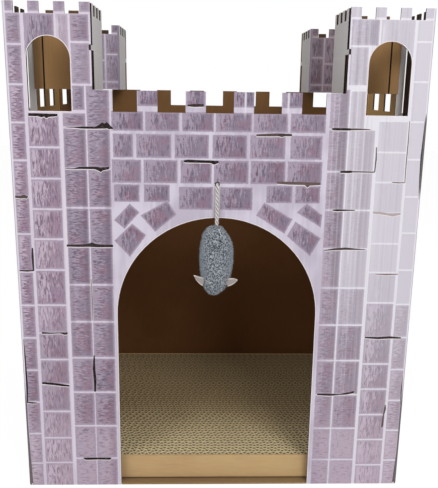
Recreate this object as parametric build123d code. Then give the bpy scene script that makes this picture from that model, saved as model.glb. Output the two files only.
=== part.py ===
from build123d import *
from math import cos, pi, radians, sin
import os

os.makedirs("parts", exist_ok=True)

# Castle shell, corrugated board folded at the corners
castle_width = 400
castle_depth = 300
castle_height = 495
board = 1.8
fold_radius = 0.8
fit_gap = 0.3
overcut = 1

# Low walls between the towers
tower_rise = 78
wall_notch_depth = 20
front_merlon = 19.2
front_merlon_pitch = 45.8
front_shoulder = 18.6
side_gap = 26
side_gap_pitch = 49

# Corner towers
tower_width = 80
tower_depth = 75
tower_notch_depth = 10.5
tower_merlon = 10
tower_merlon_count = 4
window_width = 40.4
window_height = 68
window_from_top = 30

# Panels that close the towers, hooked into the front and rear sheets
panel_edge_setback = 9
panel_low_setback = 15
hook_from_top = 37.5
hook_height = 4.5
crease_from_side = 19
crease_width = 1.6
crease_depth = 0.9
tuck_length = 10
tuck_angle = 4

# End tabs of the side sheets
front_tab_width = 10
rear_tab_width = 6.5
tab_bottom = 34

# Door arch and the hole for the cord
door_width = 202
door_spring = 195
hole_x = -1.5
hole_above_door = 33
hole_diameter = 5.2

# Base board with its flutes
flute_pitch = 3.2
liner = 0.3
flute_web = 0.35

# Tray and the scratch pad in it
tray_side_gap = 8
tray_front_gap = 8.5
tray_rear_gap = 10
tray_height = 28.2
pad_clearance = 0.8
pad_height = 26
strip_width = 5.4
strip_groove = 0.8
strip_groove_depth = 1

# Cord and toy that hang in the doorway
cord_radius = 2
cord_stand_off = 2.6
cord_length = 40
stub_radius = 1.9
stub_setback = 0.3
knot_rings = [(0, 2), (1, 3.5), (3, 4.5), (5.6, 4.5), (7.8, 3.4), (8.8, 1.8)]
soft_sides = 20
mouse_flatten = 0.86
mouse_rings = [
    (0, 2.6, 0), (1, 5.6, -0.7), (3, 8.6, -1.6), (6, 11.1, -1.6), (9, 13, -1.3),
    (13, 14.8, -0.6), (18, 16.2, 0), (24, 17.1, 0.1), (30, 17.3, 0), (37, 17.2, 0),
    (44, 16.5, -0.2), (51, 15.5, -0.4), (57, 14.2, -0.6), (61.5, 12.7, -0.9),
    (65.5, 10.4, -1.6), (69, 7.2, -2.3), (71.2, 4.2, -2.8), (72, 2, -3),
]
ear_thickness = 1.5
ear_gap = 0.2
ear_forward = 6
left_ear = [(-22.4, 49), (-18.1, 55.6), (-13.5, 61), (-6.5, 58), (-8.5, 52), (-16, 50.4)]
right_ear = [(21.5, 53.8), (17.1, 58.4), (11.8, 61), (6.5, 60), (6.5, 55), (14.5, 52.4)]

# Values that follow from the sizes above
half_width = castle_width / 2
half_depth = castle_depth / 2
tower_inner_x = half_width - tower_width
tower_inner_y = half_depth - tower_depth
panel_outer_y = tower_inner_y + fit_gap
shell_top = castle_height + overcut
wall_top = castle_height - tower_rise
wall_low = wall_top - wall_notch_depth
tower_low = castle_height - tower_notch_depth
window_top = castle_height - window_from_top
window_sill = window_top - window_height
hook_high = castle_height - hook_from_top
hook_low = hook_high - hook_height
hole_z = door_spring + door_width / 2 + hole_above_door
half_tray = half_width - tray_side_gap
tray_front = -half_depth + tray_front_gap
tray_rear = half_depth - tray_rear_gap
tray_top = board + tray_height
cord_y = -half_depth - cord_stand_off
mouse_top = hole_z - cord_length


def block(x_range, y_range, z_range):
    sizes = [high - low for low, high in (x_range, y_range, z_range)]
    centre = [(high + low) / 2 for low, high in (x_range, y_range, z_range)]
    return Pos(*centre) * Box(*sizes)


def left_offset(points, distance):
    # Same route moved to its left, with mitred corners
    normals = []
    for (x0, y0), (x1, y1) in zip(points, points[1:]):
        length = ((x1 - x0) ** 2 + (y1 - y0) ** 2) ** 0.5
        normals.append((-(y1 - y0) / length, (x1 - x0) / length))
    moved = []
    for i, (x, y) in enumerate(points):
        before = normals[max(i - 1, 0)]
        after = normals[min(i, len(normals) - 1)]
        scale_up = 1 + before[0] * after[0] + before[1] * after[1]
        shift_x = (before[0] + after[0]) / scale_up
        shift_y = (before[1] + after[1]) / scale_up
        moved.append((x + distance * shift_x, y + distance * shift_y))
    return moved


def folded_section(points):
    # Section of a folded sheet, the given route is its outer side
    inner = left_offset(points, board)
    outer_line = FilletPolyline(*points, radius=fold_radius + board)
    inner_line = FilletPolyline(*inner, radius=fold_radius)
    edges = [outer_line, inner_line, Line(points[0], inner[0]), Line(points[-1], inner[-1])]
    return make_face(Curve() + edges)


def arch(centre, width, bottom, top):
    # Opening with straight sides and a round head, drawn flat
    radius = width / 2
    spring = top - radius
    left = centre - radius
    right = centre + radius
    sides = Polyline((left, spring), (left, bottom), (right, bottom), (right, spring))
    head = ThreePointArc((right, spring), (centre, top), (left, spring))
    return make_face(Curve() + [sides, head])


def notches_between(start, end, merlon, count):
    # Gaps between merlons spread evenly, the first and last flush with the ends
    pitch = (end - start - merlon) / (count - 1)
    return [(start + i * pitch + merlon, start + (i + 1) * pitch) for i in range(count - 1)]


def ordered(low, high):
    return (min(low, high), max(low, high))


# Gaps of the front wall, from shoulder to shoulder round four merlons
merlon_centres = [(i - 1.5) * front_merlon_pitch for i in range(4)]
merlon_sides = [centre + side * front_merlon / 2 for centre in merlon_centres for side in (-1, 1)]
shoulder = tower_inner_x - front_shoulder
wall_edges = [-shoulder] + merlon_sides + [shoulder]
wall_notches = [(wall_edges[i], wall_edges[i + 1]) for i in range(0, len(wall_edges), 2)]
side_notches = [
    (-tower_inner_y + i * side_gap_pitch, -tower_inner_y + i * side_gap_pitch + side_gap)
    for i in range(3)
]
tower_x_notches = notches_between(tower_inner_x, half_width, tower_merlon, tower_merlon_count)
tower_y_notches = notches_between(tower_inner_y, half_depth, tower_merlon, tower_merlon_count)
window_x = half_width - tower_width / 2
window_y = half_depth - tower_depth / 2
front_slice = (-half_depth - overcut, -half_depth + board + overcut)
front_mid = -half_depth + board / 2


def castle_sheet(has_door):
    # Front wall, both tower fronts and their outer sides, folded from one sheet
    route = [
        (-half_width, -panel_outer_y),
        (-half_width, -half_depth),
        (half_width, -half_depth),
        (half_width, -panel_outer_y),
    ]
    sheet = extrude(folded_section(route), castle_height, dir=(0, 0, 1))
    cuts = [block((-tower_inner_x, tower_inner_x), front_slice, (wall_top, shell_top))]
    for gap in wall_notches:
        cuts.append(block(gap, front_slice, (wall_low, wall_top + overcut)))
    for side in (-1, 1):
        outer_slice = ordered(side * (half_width + overcut), side * (half_width - board - overcut))
        for low, high in tower_x_notches:
            gap = ordered(side * low, side * high)
            cuts.append(block(gap, front_slice, (tower_low, shell_top)))
        for low, high in tower_y_notches:
            cuts.append(block(outer_slice, (-high, -low), (tower_low, shell_top)))
        front_window = Plane.XZ * arch(side * window_x, window_width, window_sill, window_top)
        cuts.append(Pos(0, front_mid, 0) * extrude(front_window, board, both=True))
        side_window = Plane.YZ * arch(-window_y, window_width, window_sill, window_top)
        side_mid = side * (half_width - board / 2)
        cuts.append(Pos(side_mid, 0, 0) * extrude(side_window, board, both=True))
        hook_notch = ordered(side * tower_inner_x, side * (tower_inner_x + board + fit_gap))
        cuts.append(block(hook_notch, front_slice, (hook_low - fit_gap, hook_high + fit_gap)))
    if has_door:
        door = Plane.XZ * arch(0, door_width, -overcut, door_spring + door_width / 2)
        cuts.append(Pos(0, front_mid, 0) * extrude(door, board, both=True))
        hole = Plane.XZ * (Pos(hole_x, hole_z) * Circle(hole_diameter / 2))
        cuts.append(Pos(0, front_mid, 0) * extrude(hole, board, both=True))
    return sheet - cuts


def side_sheet():
    # Left side wall with the two end tabs folded inwards
    widest_tab = max(front_tab_width, rear_tab_width)
    route = [
        (-half_width + rear_tab_width, tower_inner_y),
        (-half_width, tower_inner_y),
        (-half_width, -tower_inner_y),
        (-half_width + front_tab_width, -tower_inner_y),
    ]
    sheet = extrude(folded_section(route), tower_low, dir=(0, 0, 1))
    wall_slice = (-half_width - overcut, -half_width + board + fold_radius)
    wall_y = (-tower_inner_y - overcut, tower_inner_y + overcut)
    tab_slice = (-half_width + board, -half_width + widest_tab + overcut)
    cuts = [block(wall_slice, wall_y, (wall_top, shell_top))]
    cuts.append(block(tab_slice, wall_y, (-overcut, tab_bottom)))
    for gap in side_notches:
        cuts.append(block(wall_slice, gap, (wall_low, wall_top + overcut)))
    return sheet - cuts


def tower_panel():
    # Inner side and back of the front left tower, with the hook and the tuck strip
    crease_x = -half_width + crease_from_side
    tip_x = crease_x - tuck_length * cos(radians(tuck_angle))
    tip_y = -panel_outer_y - tuck_length * sin(radians(tuck_angle))
    route = [
        (-tower_inner_x, -half_depth),
        (-tower_inner_x, -panel_outer_y),
        (crease_x, -panel_outer_y),
        (tip_x, tip_y),
    ]
    panel = extrude(folded_section(route), castle_height - wall_top, dir=(0, 0, 1))
    panel = Pos(0, 0, wall_top) * panel
    side_slice = (-tower_inner_x - board - overcut, -tower_inner_x + overcut)
    back_slice = (-panel_outer_y - board - overcut, -panel_outer_y + overcut)
    front_edge = -half_depth + panel_edge_setback
    low_edge = -half_depth + panel_low_setback
    before_front = -half_depth - overcut
    panel_bottom = wall_top - overcut
    cuts = [block(side_slice, (before_front, front_edge), (hook_high, shell_top))]
    cuts.append(block(side_slice, (before_front, low_edge), (panel_bottom, hook_low)))
    for low, high in notches_between(panel_outer_y, -front_edge, tower_merlon, tower_merlon_count):
        cuts.append(block(side_slice, (-high, -low), (tower_low, shell_top)))
    for low, high in tower_x_notches:
        cuts.append(block((-high, -low), back_slice, (tower_low, shell_top)))
    crease_start = -panel_outer_y - board
    crease_y = (crease_start - overcut, crease_start + crease_depth)
    crease = (crease_x - crease_width / 2, crease_x + crease_width / 2)
    cuts.append(block(crease, crease_y, (panel_bottom, shell_top)))
    return panel - cuts


def base_sheet():
    # Flat sheet inside the shell with a tongue through the doorway, flutes along its depth
    base_x = half_width - board - fit_gap
    base_y = half_depth - board - fit_gap
    tongue_x = door_width / 2 - fit_gap
    section = Pos(0, board / 2) * Rectangle(2 * base_x, board)
    pitches = int(2 * base_x / flute_pitch) - 1
    start = -pitches * flute_pitch / 2
    holes = []
    for i in range(pitches):
        left = start + i * flute_pitch
        middle = left + flute_pitch / 2
        right = left + flute_pitch
        low_hole = [(left + flute_web, liner), (right - flute_web, liner)]
        low_hole.append((middle, board - liner - flute_web))
        high_hole = [(middle + flute_web, board - liner)]
        high_hole.append((right, liner + flute_web))
        high_hole.append((right + flute_pitch / 2 - flute_web, board - liner))
        holes.append(make_face(Polyline(*low_hole, close=True)))
        holes.append(make_face(Polyline(*high_hole, close=True)))
    section -= holes
    sheet = extrude(Plane.XZ * section, half_depth + base_y, dir=(0, 1, 0))
    sheet = Pos(0, -half_depth, 0) * sheet
    for side in (-1, 1):
        corner = ordered(side * tongue_x, side * (base_x + overcut))
        sheet -= block(corner, (-half_depth - overcut, -base_y), (-overcut, board + overcut))
    return sheet


def tray_sheet():
    # Bottom with four walls folded up, slit at the corners
    bend = fold_radius + board
    lengthways = [
        (tray_front, tray_top), (tray_front, board), (tray_rear, board), (tray_rear, tray_top),
    ]
    crossways = [
        (-half_tray, tray_top), (-half_tray, board), (half_tray, board), (half_tray, tray_top),
    ]
    front_to_rear = Plane.YZ * folded_section(lengthways)
    side_to_side = Plane.XZ * folded_section(crossways)
    sheet = extrude(front_to_rear, half_tray - bend, both=True)
    side_length = (tray_rear - tray_front) / 2 - bend
    tray_middle = (tray_rear + tray_front) / 2
    sheet += Pos(0, tray_middle, 0) * extrude(side_to_side, side_length, both=True)
    wall_z = (board + bend, tray_top)
    sheet += block((-half_tray, half_tray), (tray_front, tray_front + board), wall_z)
    sheet += block((-half_tray, half_tray), (tray_rear - board, tray_rear), wall_z)
    side_y = (tray_front + board + fit_gap, tray_rear - board - fit_gap)
    for side in (-1, 1):
        wall_x = ordered(side * half_tray, side * (half_tray - board))
        sheet += block(wall_x, side_y, wall_z)
    return sheet


def pad_block():
    # Strips glued side by side, a groove between each two
    pad_x = half_tray - board - pad_clearance
    front = tray_front + board + pad_clearance
    rear = tray_rear - board - pad_clearance
    bottom = 2 * board
    top = bottom + pad_height
    strip_count = round((rear - front) / strip_width)
    pitch = (rear - front) / strip_count
    outline = [(front, bottom), (rear, bottom), (rear, top)]
    for i in range(1, strip_count):
        joint_y = rear - i * pitch
        outline.append((joint_y + strip_groove / 2, top))
        outline.append((joint_y + strip_groove / 2, top - strip_groove_depth))
        outline.append((joint_y - strip_groove / 2, top - strip_groove_depth))
        outline.append((joint_y - strip_groove / 2, top))
    outline.append((front, top))
    section = Plane.YZ * make_face(Polyline(*outline, close=True))
    return extrude(section, pad_x, both=True)


def ring(radius, flatten):
    # Many-sided round, the outline of a soft piece at one height
    angles = [2 * pi * i / soft_sides for i in range(soft_sides)]
    return [(radius * cos(angle), radius * flatten * sin(angle)) for angle in angles]


def soft_solid(rings):
    # Closed skin of flat facets between neighbouring rings, with a cap at each end
    faces = [make_face(Polyline(*end, close=True)) for end in (rings[0], rings[-1])]
    for upper, lower in zip(rings, rings[1:]):
        for i in range(soft_sides):
            j = (i + 1) % soft_sides
            faces.append(make_face(Polyline(upper[i], upper[j], lower[j], lower[i], close=True)))
    return Solid(Shell(faces))


def knot():
    # Knot behind the wall and the stub of cord in the hole
    knot_front = -half_depth + board + fit_gap
    rings = []
    for depth, radius in knot_rings:
        points = ring(radius, 1)
        rings.append([(hole_x + x, knot_front + depth, hole_z + z) for x, z in points])
    stub_length = board + fit_gap - stub_setback + overcut
    stub_y = -half_depth + stub_setback + stub_length / 2
    stub = Pos(hole_x, stub_y, hole_z) * Rot(90, 0, 0) * Cylinder(stub_radius, stub_length)
    return soft_solid(rings) + stub


def mouse(grow):
    # Stuffed body, skinned over its widths from top to nose
    rings = []
    for drop, half, shift in mouse_rings:
        points = ring(half + grow, mouse_flatten)
        height = mouse_top - drop
        rings.append([(hole_x + shift + x, cord_y + y, height) for x, y in points])
    return soft_solid(rings)


def ear(points):
    # Felt leaf sewn to the side of the body, its points lie from the hole and the body's top
    places = [(hole_x + x, mouse_top - drop) for x, drop in points]
    tip, low_middle, low_end, inner_low, inner_high, high_middle = places
    lower = ThreePointArc(tip, low_middle, low_end)
    inner = Polyline(low_end, inner_low, inner_high)
    upper = ThreePointArc(inner_high, high_middle, tip)
    leaf = Plane.XZ * make_face(Curve() + [lower, inner, upper])
    leaf = extrude(leaf, ear_thickness / 2, both=True)
    return Pos(0, cord_y - ear_forward, 0) * leaf - mouse(ear_gap)


front_sheet = castle_sheet(True)
rear_sheet = Rot(0, 0, 180) * castle_sheet(False)
left_side = side_sheet()
right_side = mirror(left_side, Plane.YZ)
front_left = tower_panel()
front_right = mirror(front_left, Plane.YZ)
rear_left = Rot(0, 0, 180) * front_right
rear_right = Rot(0, 0, 180) * front_left
rope = Pos(hole_x, cord_y, hole_z - cord_length / 2) * Cylinder(cord_radius, cord_length)

pieces = {
    "front_sheet": front_sheet,
    "rear_sheet": rear_sheet,
    "left_side": left_side,
    "right_side": right_side,
    "tower_panel_front_left": front_left,
    "tower_panel_front_right": front_right,
    "tower_panel_rear_left": rear_left,
    "tower_panel_rear_right": rear_right,
    "base_board": base_sheet(),
    "tray": tray_sheet(),
    "scratch_pad": pad_block(),
    "rope_knot": knot(),
    "rope": rope,
    "mouse_body": mouse(0),
    "mouse_ear_left": ear(left_ear),
    "mouse_ear_right": ear(right_ear),
}
for name, piece in pieces.items():
    export_step(piece, f"parts/{name}.step")
    print(name, len(piece.solids()), round(piece.volume / 1000, 2), piece.is_valid)
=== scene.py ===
import math
import random
from functools import partial

import bmesh
import bpy
from mathutils import Matrix, Vector


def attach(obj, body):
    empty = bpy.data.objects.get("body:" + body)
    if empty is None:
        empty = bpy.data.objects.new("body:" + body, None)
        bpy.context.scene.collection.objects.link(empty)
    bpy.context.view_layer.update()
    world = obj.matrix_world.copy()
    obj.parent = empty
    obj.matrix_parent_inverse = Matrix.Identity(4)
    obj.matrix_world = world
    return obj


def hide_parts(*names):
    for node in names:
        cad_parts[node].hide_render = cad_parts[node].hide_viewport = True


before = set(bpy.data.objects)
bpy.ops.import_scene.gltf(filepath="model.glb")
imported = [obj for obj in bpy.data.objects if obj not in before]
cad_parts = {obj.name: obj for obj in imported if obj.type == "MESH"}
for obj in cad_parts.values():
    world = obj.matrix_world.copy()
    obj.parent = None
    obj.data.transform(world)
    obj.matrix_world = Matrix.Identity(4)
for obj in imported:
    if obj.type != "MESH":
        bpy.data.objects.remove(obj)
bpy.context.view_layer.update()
mm = 0.001
castleNodes = ["front_sheet", "rear_sheet", "left_side", "right_side"]
panelNodes = [f"tower_panel_{place}" for place in ("front_left", "front_right", "rear_left", "rear_right")]
print("frame loaded, nodes:", len(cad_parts))

castleSize = {
    # mm from the castle's middle or from the floor
    "side": 200,           # printed face of the side walls
    "front": 150,          # and of the front and rear walls
    "sideWallEnd": 75,     # face of the side walls' tabs
    "towerInner": 120,     # printed faces of the tower panels
    "towerBack": 75.3,
    "bend": 2.6,           # outer radius of every fold
    "foot": -3,            # the walls' print is cut off by their lower edge
    "wallTop": 485,        # top of the highest course
    "merlon": (486, 499),  # the row of stones over it
    "panelFoot": 417,
    "panelLip": 415.7,
}


def inMetres(places):
    return {name: [p * mm for p in values] for name, values in places.items()}


def linearColor(hexValue):
    # sRGB hex to the linear values that the shaders work in
    parts = [int(hexValue[i:i + 2], 16) / 255 for i in (0, 2, 4)]
    return [p / 12.92 if p <= 0.04045 else ((p + 0.055) / 1.055) ** 2.4 for p in parts] + [1.0]


nodeKinds = {
    # own name: Blender's type and the settings it always has; other names in small letters are steps of arithmetic
    "mix": ("ShaderNodeMix", {"data_type": "RGBA"}),
    "step": ("ShaderNodeMapRange", {"interpolation_type": "SMOOTHSTEP"}),  # value, low, high, from, to
    "split": ("ShaderNodeSeparateXYZ", {}),
    "combine": ("ShaderNodeCombineXYZ", {}),
}


def setInputs(tree, node, values):
    # values by input: a number, a vector, a colour in hex, a socket, or a node that gives its first output
    for key, value in values.items():
        socket = node.inputs[key]
        if isinstance(value, bpy.types.Node):
            value = next(output for output in value.outputs if output.enabled)
        if isinstance(value, bpy.types.NodeSocket):
            tree.links.new(value, socket)
        else:
            socket.default_value = linearColor(value) if isinstance(value, str) else value


def addNode(tree, kind, *values, **settings):
    # values: one dictionary by input, or plain values in the order of the inputs, where None leaves one alone;
    # those that don't fit go with the result into another node of the kind
    kindType, usual = nodeKinds.get(kind, (kind, {}) if kind[0].isupper() else
                                    ("ShaderNodeMath", {"operation": kind.upper()}))
    node = tree.nodes.new(kindType)
    for name, value in {**usual, **settings}.items():
        setattr(node, name, value)
    if values and isinstance(values[0], dict):
        setInputs(tree, node, values[0])
        return node
    inOrder = [i for i, socket in enumerate(node.inputs) if socket.enabled]
    setInputs(tree, node, {i: value for i, value in zip(inOrder, values) if value is not None})
    spare = values[len(inOrder):]
    return addNode(tree, kind, node, *spare, **settings) if spare else node


def newMaterial(name):
    # the material, what adds a node to it, what sets its shader, and the place on the piece
    material = bpy.data.materials.new(name)
    material.use_nodes = True
    tree = material.node_tree
    add = partial(addNode, tree)
    setShader = partial(setInputs, tree, tree.nodes["Principled BSDF"])
    return material, add, setShader, add("ShaderNodeTexCoord").outputs["Object"]


def plainMaterial(name, color, roughness):
    material, _, setShader, _ = newMaterial(name)
    setShader({"Base Color": color, "Roughness": roughness})
    return material


def mottled(add, coords, size, detail=3, stretch=(1, 1, 1), rough=0.5, distortion=0.0):
    # clouds whose features are about size millimetres across
    place = add("ShaderNodeMapping", {"Vector": coords, "Scale": stretch})
    return add("ShaderNodeTexNoise", {"Vector": place, "Scale": 1 / (size * mm), "Detail": detail,
                                      "Roughness": rough, "Distortion": distortion})


# Camera and studio

cameraPlace = {
    "position": (-19.6, -779.8, 419.3),  # mm
    "yaw": 1.88,                         # degrees towards +X
    "pitch": 13.38,                      # degrees down
    "roll": 0.87,
    "focalPixels": 650.5,
    "pictureWidth": 438,                 # pixels
    "sensorWidth": 36,
}
yaw, pitch, roll = (math.radians(cameraPlace[k]) for k in ("yaw", "pitch", "roll"))
ahead = Vector((math.sin(yaw) * math.cos(pitch), math.cos(yaw) * math.cos(pitch), -math.sin(pitch)))
levelRight = Vector((math.cos(yaw), -math.sin(yaw), 0))
levelUp = levelRight.cross(ahead)
cameraRight = levelRight * math.cos(roll) + levelUp * math.sin(roll)
cameraUp = levelUp * math.cos(roll) - levelRight * math.sin(roll)
cameraData = bpy.data.cameras.new("camera")
cameraData.sensor_width = cameraPlace["sensorWidth"]
cameraData.sensor_fit = "HORIZONTAL"
cameraData.lens = cameraPlace["focalPixels"] / cameraPlace["pictureWidth"] * cameraPlace["sensorWidth"]
camera = bpy.data.objects.new("camera", cameraData)
bpy.context.collection.objects.link(camera)
turn = Matrix((cameraRight, cameraUp, -ahead)).transposed().to_4x4()
camera.matrix_world = Matrix.Translation(Vector(cameraPlace["position"]) * mm) @ turn
bpy.context.scene.camera = camera

studio = {
    "floorSize": 8,            # metres
    "floorColor": "f4f4f4",
    "floorGlow": 0.86,         # share of plain white that the camera sees on the floor
    "glowStrength": 1.1,
    "worldLight": 0.26,
    "lights": [
        # name, place, aims at, size, watts
        ("key_right", (0.75, -1.5, 1.2), (0, -0.1, 0.28), 0.8, 15),
        ("fill_left", (-1.1, -1.35, 0.9), (0, -0.1, 0.28), 0.9, 9.2),
        ("top", (0.3, -0.1, 1.9), (0, 0, 0.1), 0.9, 6),
    ],
}
white = (1, 1, 1, 1)


def makeFloor():
    # matt white floor that glows for the camera alone, so that it keeps the castle's shadow
    bpy.ops.mesh.primitive_plane_add(size=studio["floorSize"], location=(0, 0, 0))
    floor = bpy.context.object
    floor.name = "floor"
    material = bpy.data.materials.new("white studio floor")
    material.use_nodes = True
    tree = material.node_tree
    shader = tree.nodes["Principled BSDF"]
    setInputs(tree, shader, {"Base Color": studio["floorColor"], "Roughness": 0.9})
    glow = addNode(tree, "ShaderNodeEmission", {"Strength": studio["glowStrength"], "Color": white})
    seen = addNode(tree, "ShaderNodeLightPath").outputs["Is Camera Ray"]
    share = addNode(tree, "multiply", seen, studio["floorGlow"])
    mix = addNode(tree, "ShaderNodeMixShader", share, shader, glow)
    setInputs(tree, tree.nodes["Material Output"], {"Surface": mix})
    floor.data.materials.append(material)


def makeLight():
    # white behind the castle for the camera and through glass, a dim even light for the rest, three soft lamps
    world = bpy.data.worlds.new("studio world")
    bpy.context.scene.world = world
    world.use_nodes = True
    tree = world.node_tree
    path = addNode(tree, "ShaderNodeLightPath").outputs
    seen = addNode(tree, "maximum", path["Is Camera Ray"], path["Is Transmission Ray"])
    strength = addNode(tree, "multiply_add", seen, 1 - studio["worldLight"], studio["worldLight"])
    setInputs(tree, tree.nodes["Background"], {"Color": white, "Strength": strength})
    for name, place, aim, size, watts in studio["lights"]:
        lamp = bpy.data.lights.new(name, "AREA")
        lamp.size = size
        lamp.energy = watts
        holder = bpy.data.objects.new(name, lamp)
        holder.location = place
        holder.rotation_euler = (Vector(aim) - Vector(place)).to_track_quat("-Z", "Y").to_euler()
        bpy.context.collection.objects.link(holder)
    bpy.context.scene.view_settings.view_transform = "Standard"


makeFloor()
makeLight()
print("camera, floor and lights made")

# Board materials

boardLook = {
    "thickness": 1.8,        # mm
    "printDepth": 0.25,      # mm under the printed side that still counts as printed
    "kraftDepth": 1.5,       # and from which it is the kraft side
    "flutePitch": 3.2,       # mm, E flute
    # middle, dark and light tone of the kraft side: the castle's sheets, low and painted lighter high up, and the
    # tower panels
    "sheetKraft": ("7b4f2c", "654120", "8b5e33"),
    "sheetKraftLit": ("84603a", "6d4c2a", "967148"),
    "panelKraft": ("bd9363", "a67c4e", "cda673"),
    "sideLitLeft": "af8b57",    # side walls behind the towers' windows, painted lighter as painted light
    "sideLitRight": "dcb478",
    "kraftShade": "2a1c18",
    "bareLiner": "f8f4f3",
    "edgeCream": "cdb791",
    "edgeHollow": "20150f",
    "edgeShade": "4f3826",
}
boardIor = 1.5
kraftAt = inMetres({
    # mm, where the kraft side changes
    "sideWall": [197.6],       # past it lies the inside of the side walls
    "towerBack": [75.5, 78.5],
    "corner": [141, 137],
    "cornerEnd": [121.5],
    "windowEdge": [-178, -187],
    # heights over which a change sets in
    "tower": [380, 390],
    "litSide": [370, 392],
    "merlon": [483, 486],
    "litSheetTop": [300, 420],
})
printLook = {
    "softEdge": 5.0,         # mm over which a stone's tone builds up from its border
    "ground": "bdb3c3",
    "groundPale": "d2cad8",
    "groundLeft": "dacddb",
    "groundLit": "e4e0e8",
    "innerSide": "f6f2ef",
    "rim": "ddd6e1",
    "stoneEdge": "a092a5",
    "stoneCool": "7f7386",
    "stoneWarm": "86697c",
    "stoneLight": "ab9eb0",
    "stoneDark": "4b3d50",
    "stoneLeft": "9c8298",
    "stoneFoot": "beabbb",
    "lightLeft": "ccbdce",
    "darkLeft": "563c4e",
    "stonePale": "cdbccb",
    "stoneLit": "d0cbd5",
    "rearRightShade": "c9bdb8",
    "foldShade": "32231f",
    # pale and dark lines down the front: x, half width, lowest and highest z, strength
    "streaks": [(-198.6, 1.3, 0, 500, 0.8), (109.2, 0.6, 300, 420, 0.25), (114.0, 0.5, 330, 420, 0.25),
                (124.1, 1.0, 100, 480, 0.35), (131.4, 0.8, 250, 430, 0.5), (139.6, 0.6, 300, 400, 0.45),
                (24.3, 0.9, 398, 420, 0.8), (65.2, 0.9, 398, 420, 0.8), (151.7, 1.0, 20, 480, 0.6),
                (124.1, 1.4, -5, 110, 0.2), (-150.2, 1.0, 20, 480, 0.4), (-126.6, 0.7, 180, 421, 0.3)],
    "shades": [(118.6, 3.4, 220, 420, 0.24), (112.0, 1.6, 250, 400, 0.1), (143.0, 0.7, 300, 380, 0.1),
               (-108.5, 2.2, 150, 380, 0.25), (-146.0, 1.8, 150, 380, 0.2), (-130.5, 1.8, 150, 380, 0.22)],
}
printAt = inMetres({
    # mm, where the print changes
    "front": [-149.6],         # before it lies the front's face
    "inner": [120.6],          # up to it lie the towers' inner sides
    "innerFoot": [414],
    "rightTower": [100, 130],
    "leftTower": [-100, -115],
    "towers": [100, 115],
    "outerColumn": [149.5, 151.5],
    "rearFace": [74.5, 76.5],  # faces of the rear towers, seen over the walls
    "rearFoldX": [120.4, 122.9],
    "rearFoldY": [75.2, 78.5],
    "fold": [197.3, 147.8],    # x and y of the bends between the front and its flanks
    "onFold": [0, 0.3],
    # heights over which a change sets in or ends
    "paintedLight": [0, 220],
    "foot": [100, 50],
    "outerLow": [140, 200],
    "outerHigh": [460, 430],
    "lowRight": [225, 205],
    "foldShadeLow": [125, 90],
    "foldShadeFrom": [312, 330],
    "foldShadeTo": [402, 392],
    "bandedX": [200, 148],
})


def fluteWaves(add, coords):
    # washboard lines of the flutes under the liner, upright on every wall
    flat = add("ShaderNodeMapping", {"Vector": coords, "Scale": (1, 1, 0)})
    scale = 0.314 / (boardLook["flutePitch"] * mm)  # a line over every second flute, as coarse as it needs to show
    return add("ShaderNodeTexWave", {"Vector": flat, "Scale": scale, "Distortion": 0.3},
               wave_type="BANDS", bands_direction="DIAGONAL").outputs["Fac"]


def kraftTone(add, tones, clouds, fibres):
    middle, dark, light = tones
    return add("mix", add("multiply", fibres, 0.4), add("mix", clouds, dark, middle), light)


def kraftMaterial(name, lowTones, highTones):
    # brown kraft liner, calendered: matt, with faint washboard lines over the flutes and short fibres;
    # the sheets are painted darker low down and lighter towards their top, as painted shade and painted light
    material, add, setShader, coords = newMaterial(name)
    fibres = mottled(add, coords, 1.6, 4, (1, 1, 0.12))
    clouds = mottled(add, coords, 42, 2)
    x, y, z = add("split", coords).outputs
    aside, back = add("absolute", x), add("absolute", y)
    # painted light: the sheets' kraft turns lighter towards their top
    color = add("mix", add("step", z, *kraftAt["litSheetTop"]), kraftTone(add, lowTones, clouds, fibres),
                kraftTone(add, highTones, clouds, fibres))
    # painted light: the side walls' kraft is painted lighter behind the towers' windows
    onSide = add("greater_than", aside, *kraftAt["sideWall"])
    nearBack, farBack = kraftAt["towerBack"]
    sideLit = add("multiply", onSide, add("less_than", back, nearBack), add("step", z, *kraftAt["litSide"]))
    color = add("mix", sideLit, color,
                add("mix", add("greater_than", x, 0.0), boardLook["sideLitLeft"], boardLook["sideLitRight"]))
    # painted shade inside: the front towers' flanks, the towers' inner corners, the left window's edge and the
    # merlons are darkened
    inBack = add("less_than", back, farBack)
    flank = add("multiply", onSide, add("less_than", y, -nearBack))
    corner = add("multiply", add("step", aside, *kraftAt["corner"]),
                 add("greater_than", aside, *kraftAt["cornerEnd"]), inBack)
    tower = add("multiply", add("maximum", flank, corner), add("step", z, *kraftAt["tower"], 0.0, 0.85))
    windowEdge = add("multiply", add("step", x, *kraftAt["windowEdge"], 0.0, 0.45), inBack,
                     add("greater_than", back, nearBack))
    dark = add("maximum", tower, windowEdge, add("step", z, *kraftAt["merlon"], 0.0, 0.75))
    color = add("mix", dark, color, boardLook["kraftShade"])
    height = add("multiply_add", fibres, 0.3, fluteWaves(add, coords))
    bump = add("ShaderNodeBump", {"Strength": 0.25, "Distance": 0.06 * mm, "Height": height})
    setShader({"Base Color": color, "Normal": bump, "Roughness": 0.82, "IOR": boardIor, "Specular IOR Level": 0.3})
    return material


def upLines(add, x, z, lines):
    # strongest of several upright lines: x of the middle, half width, lowest and highest z, strength
    field = 0.0
    for middle, half, low, high, strength in lines:
        away = add("absolute", add("subtract", x, middle * mm))
        line = add("step", away, half * 1.8 * mm, half * 0.4 * mm, 0.0, strength)
        field = add("maximum", field, add("multiply", line, add("step", z, (low - 10) * mm, (low + 10) * mm),
                                          add("step", z, (high + 6) * mm, (high - 6) * mm)))
    return field


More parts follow.
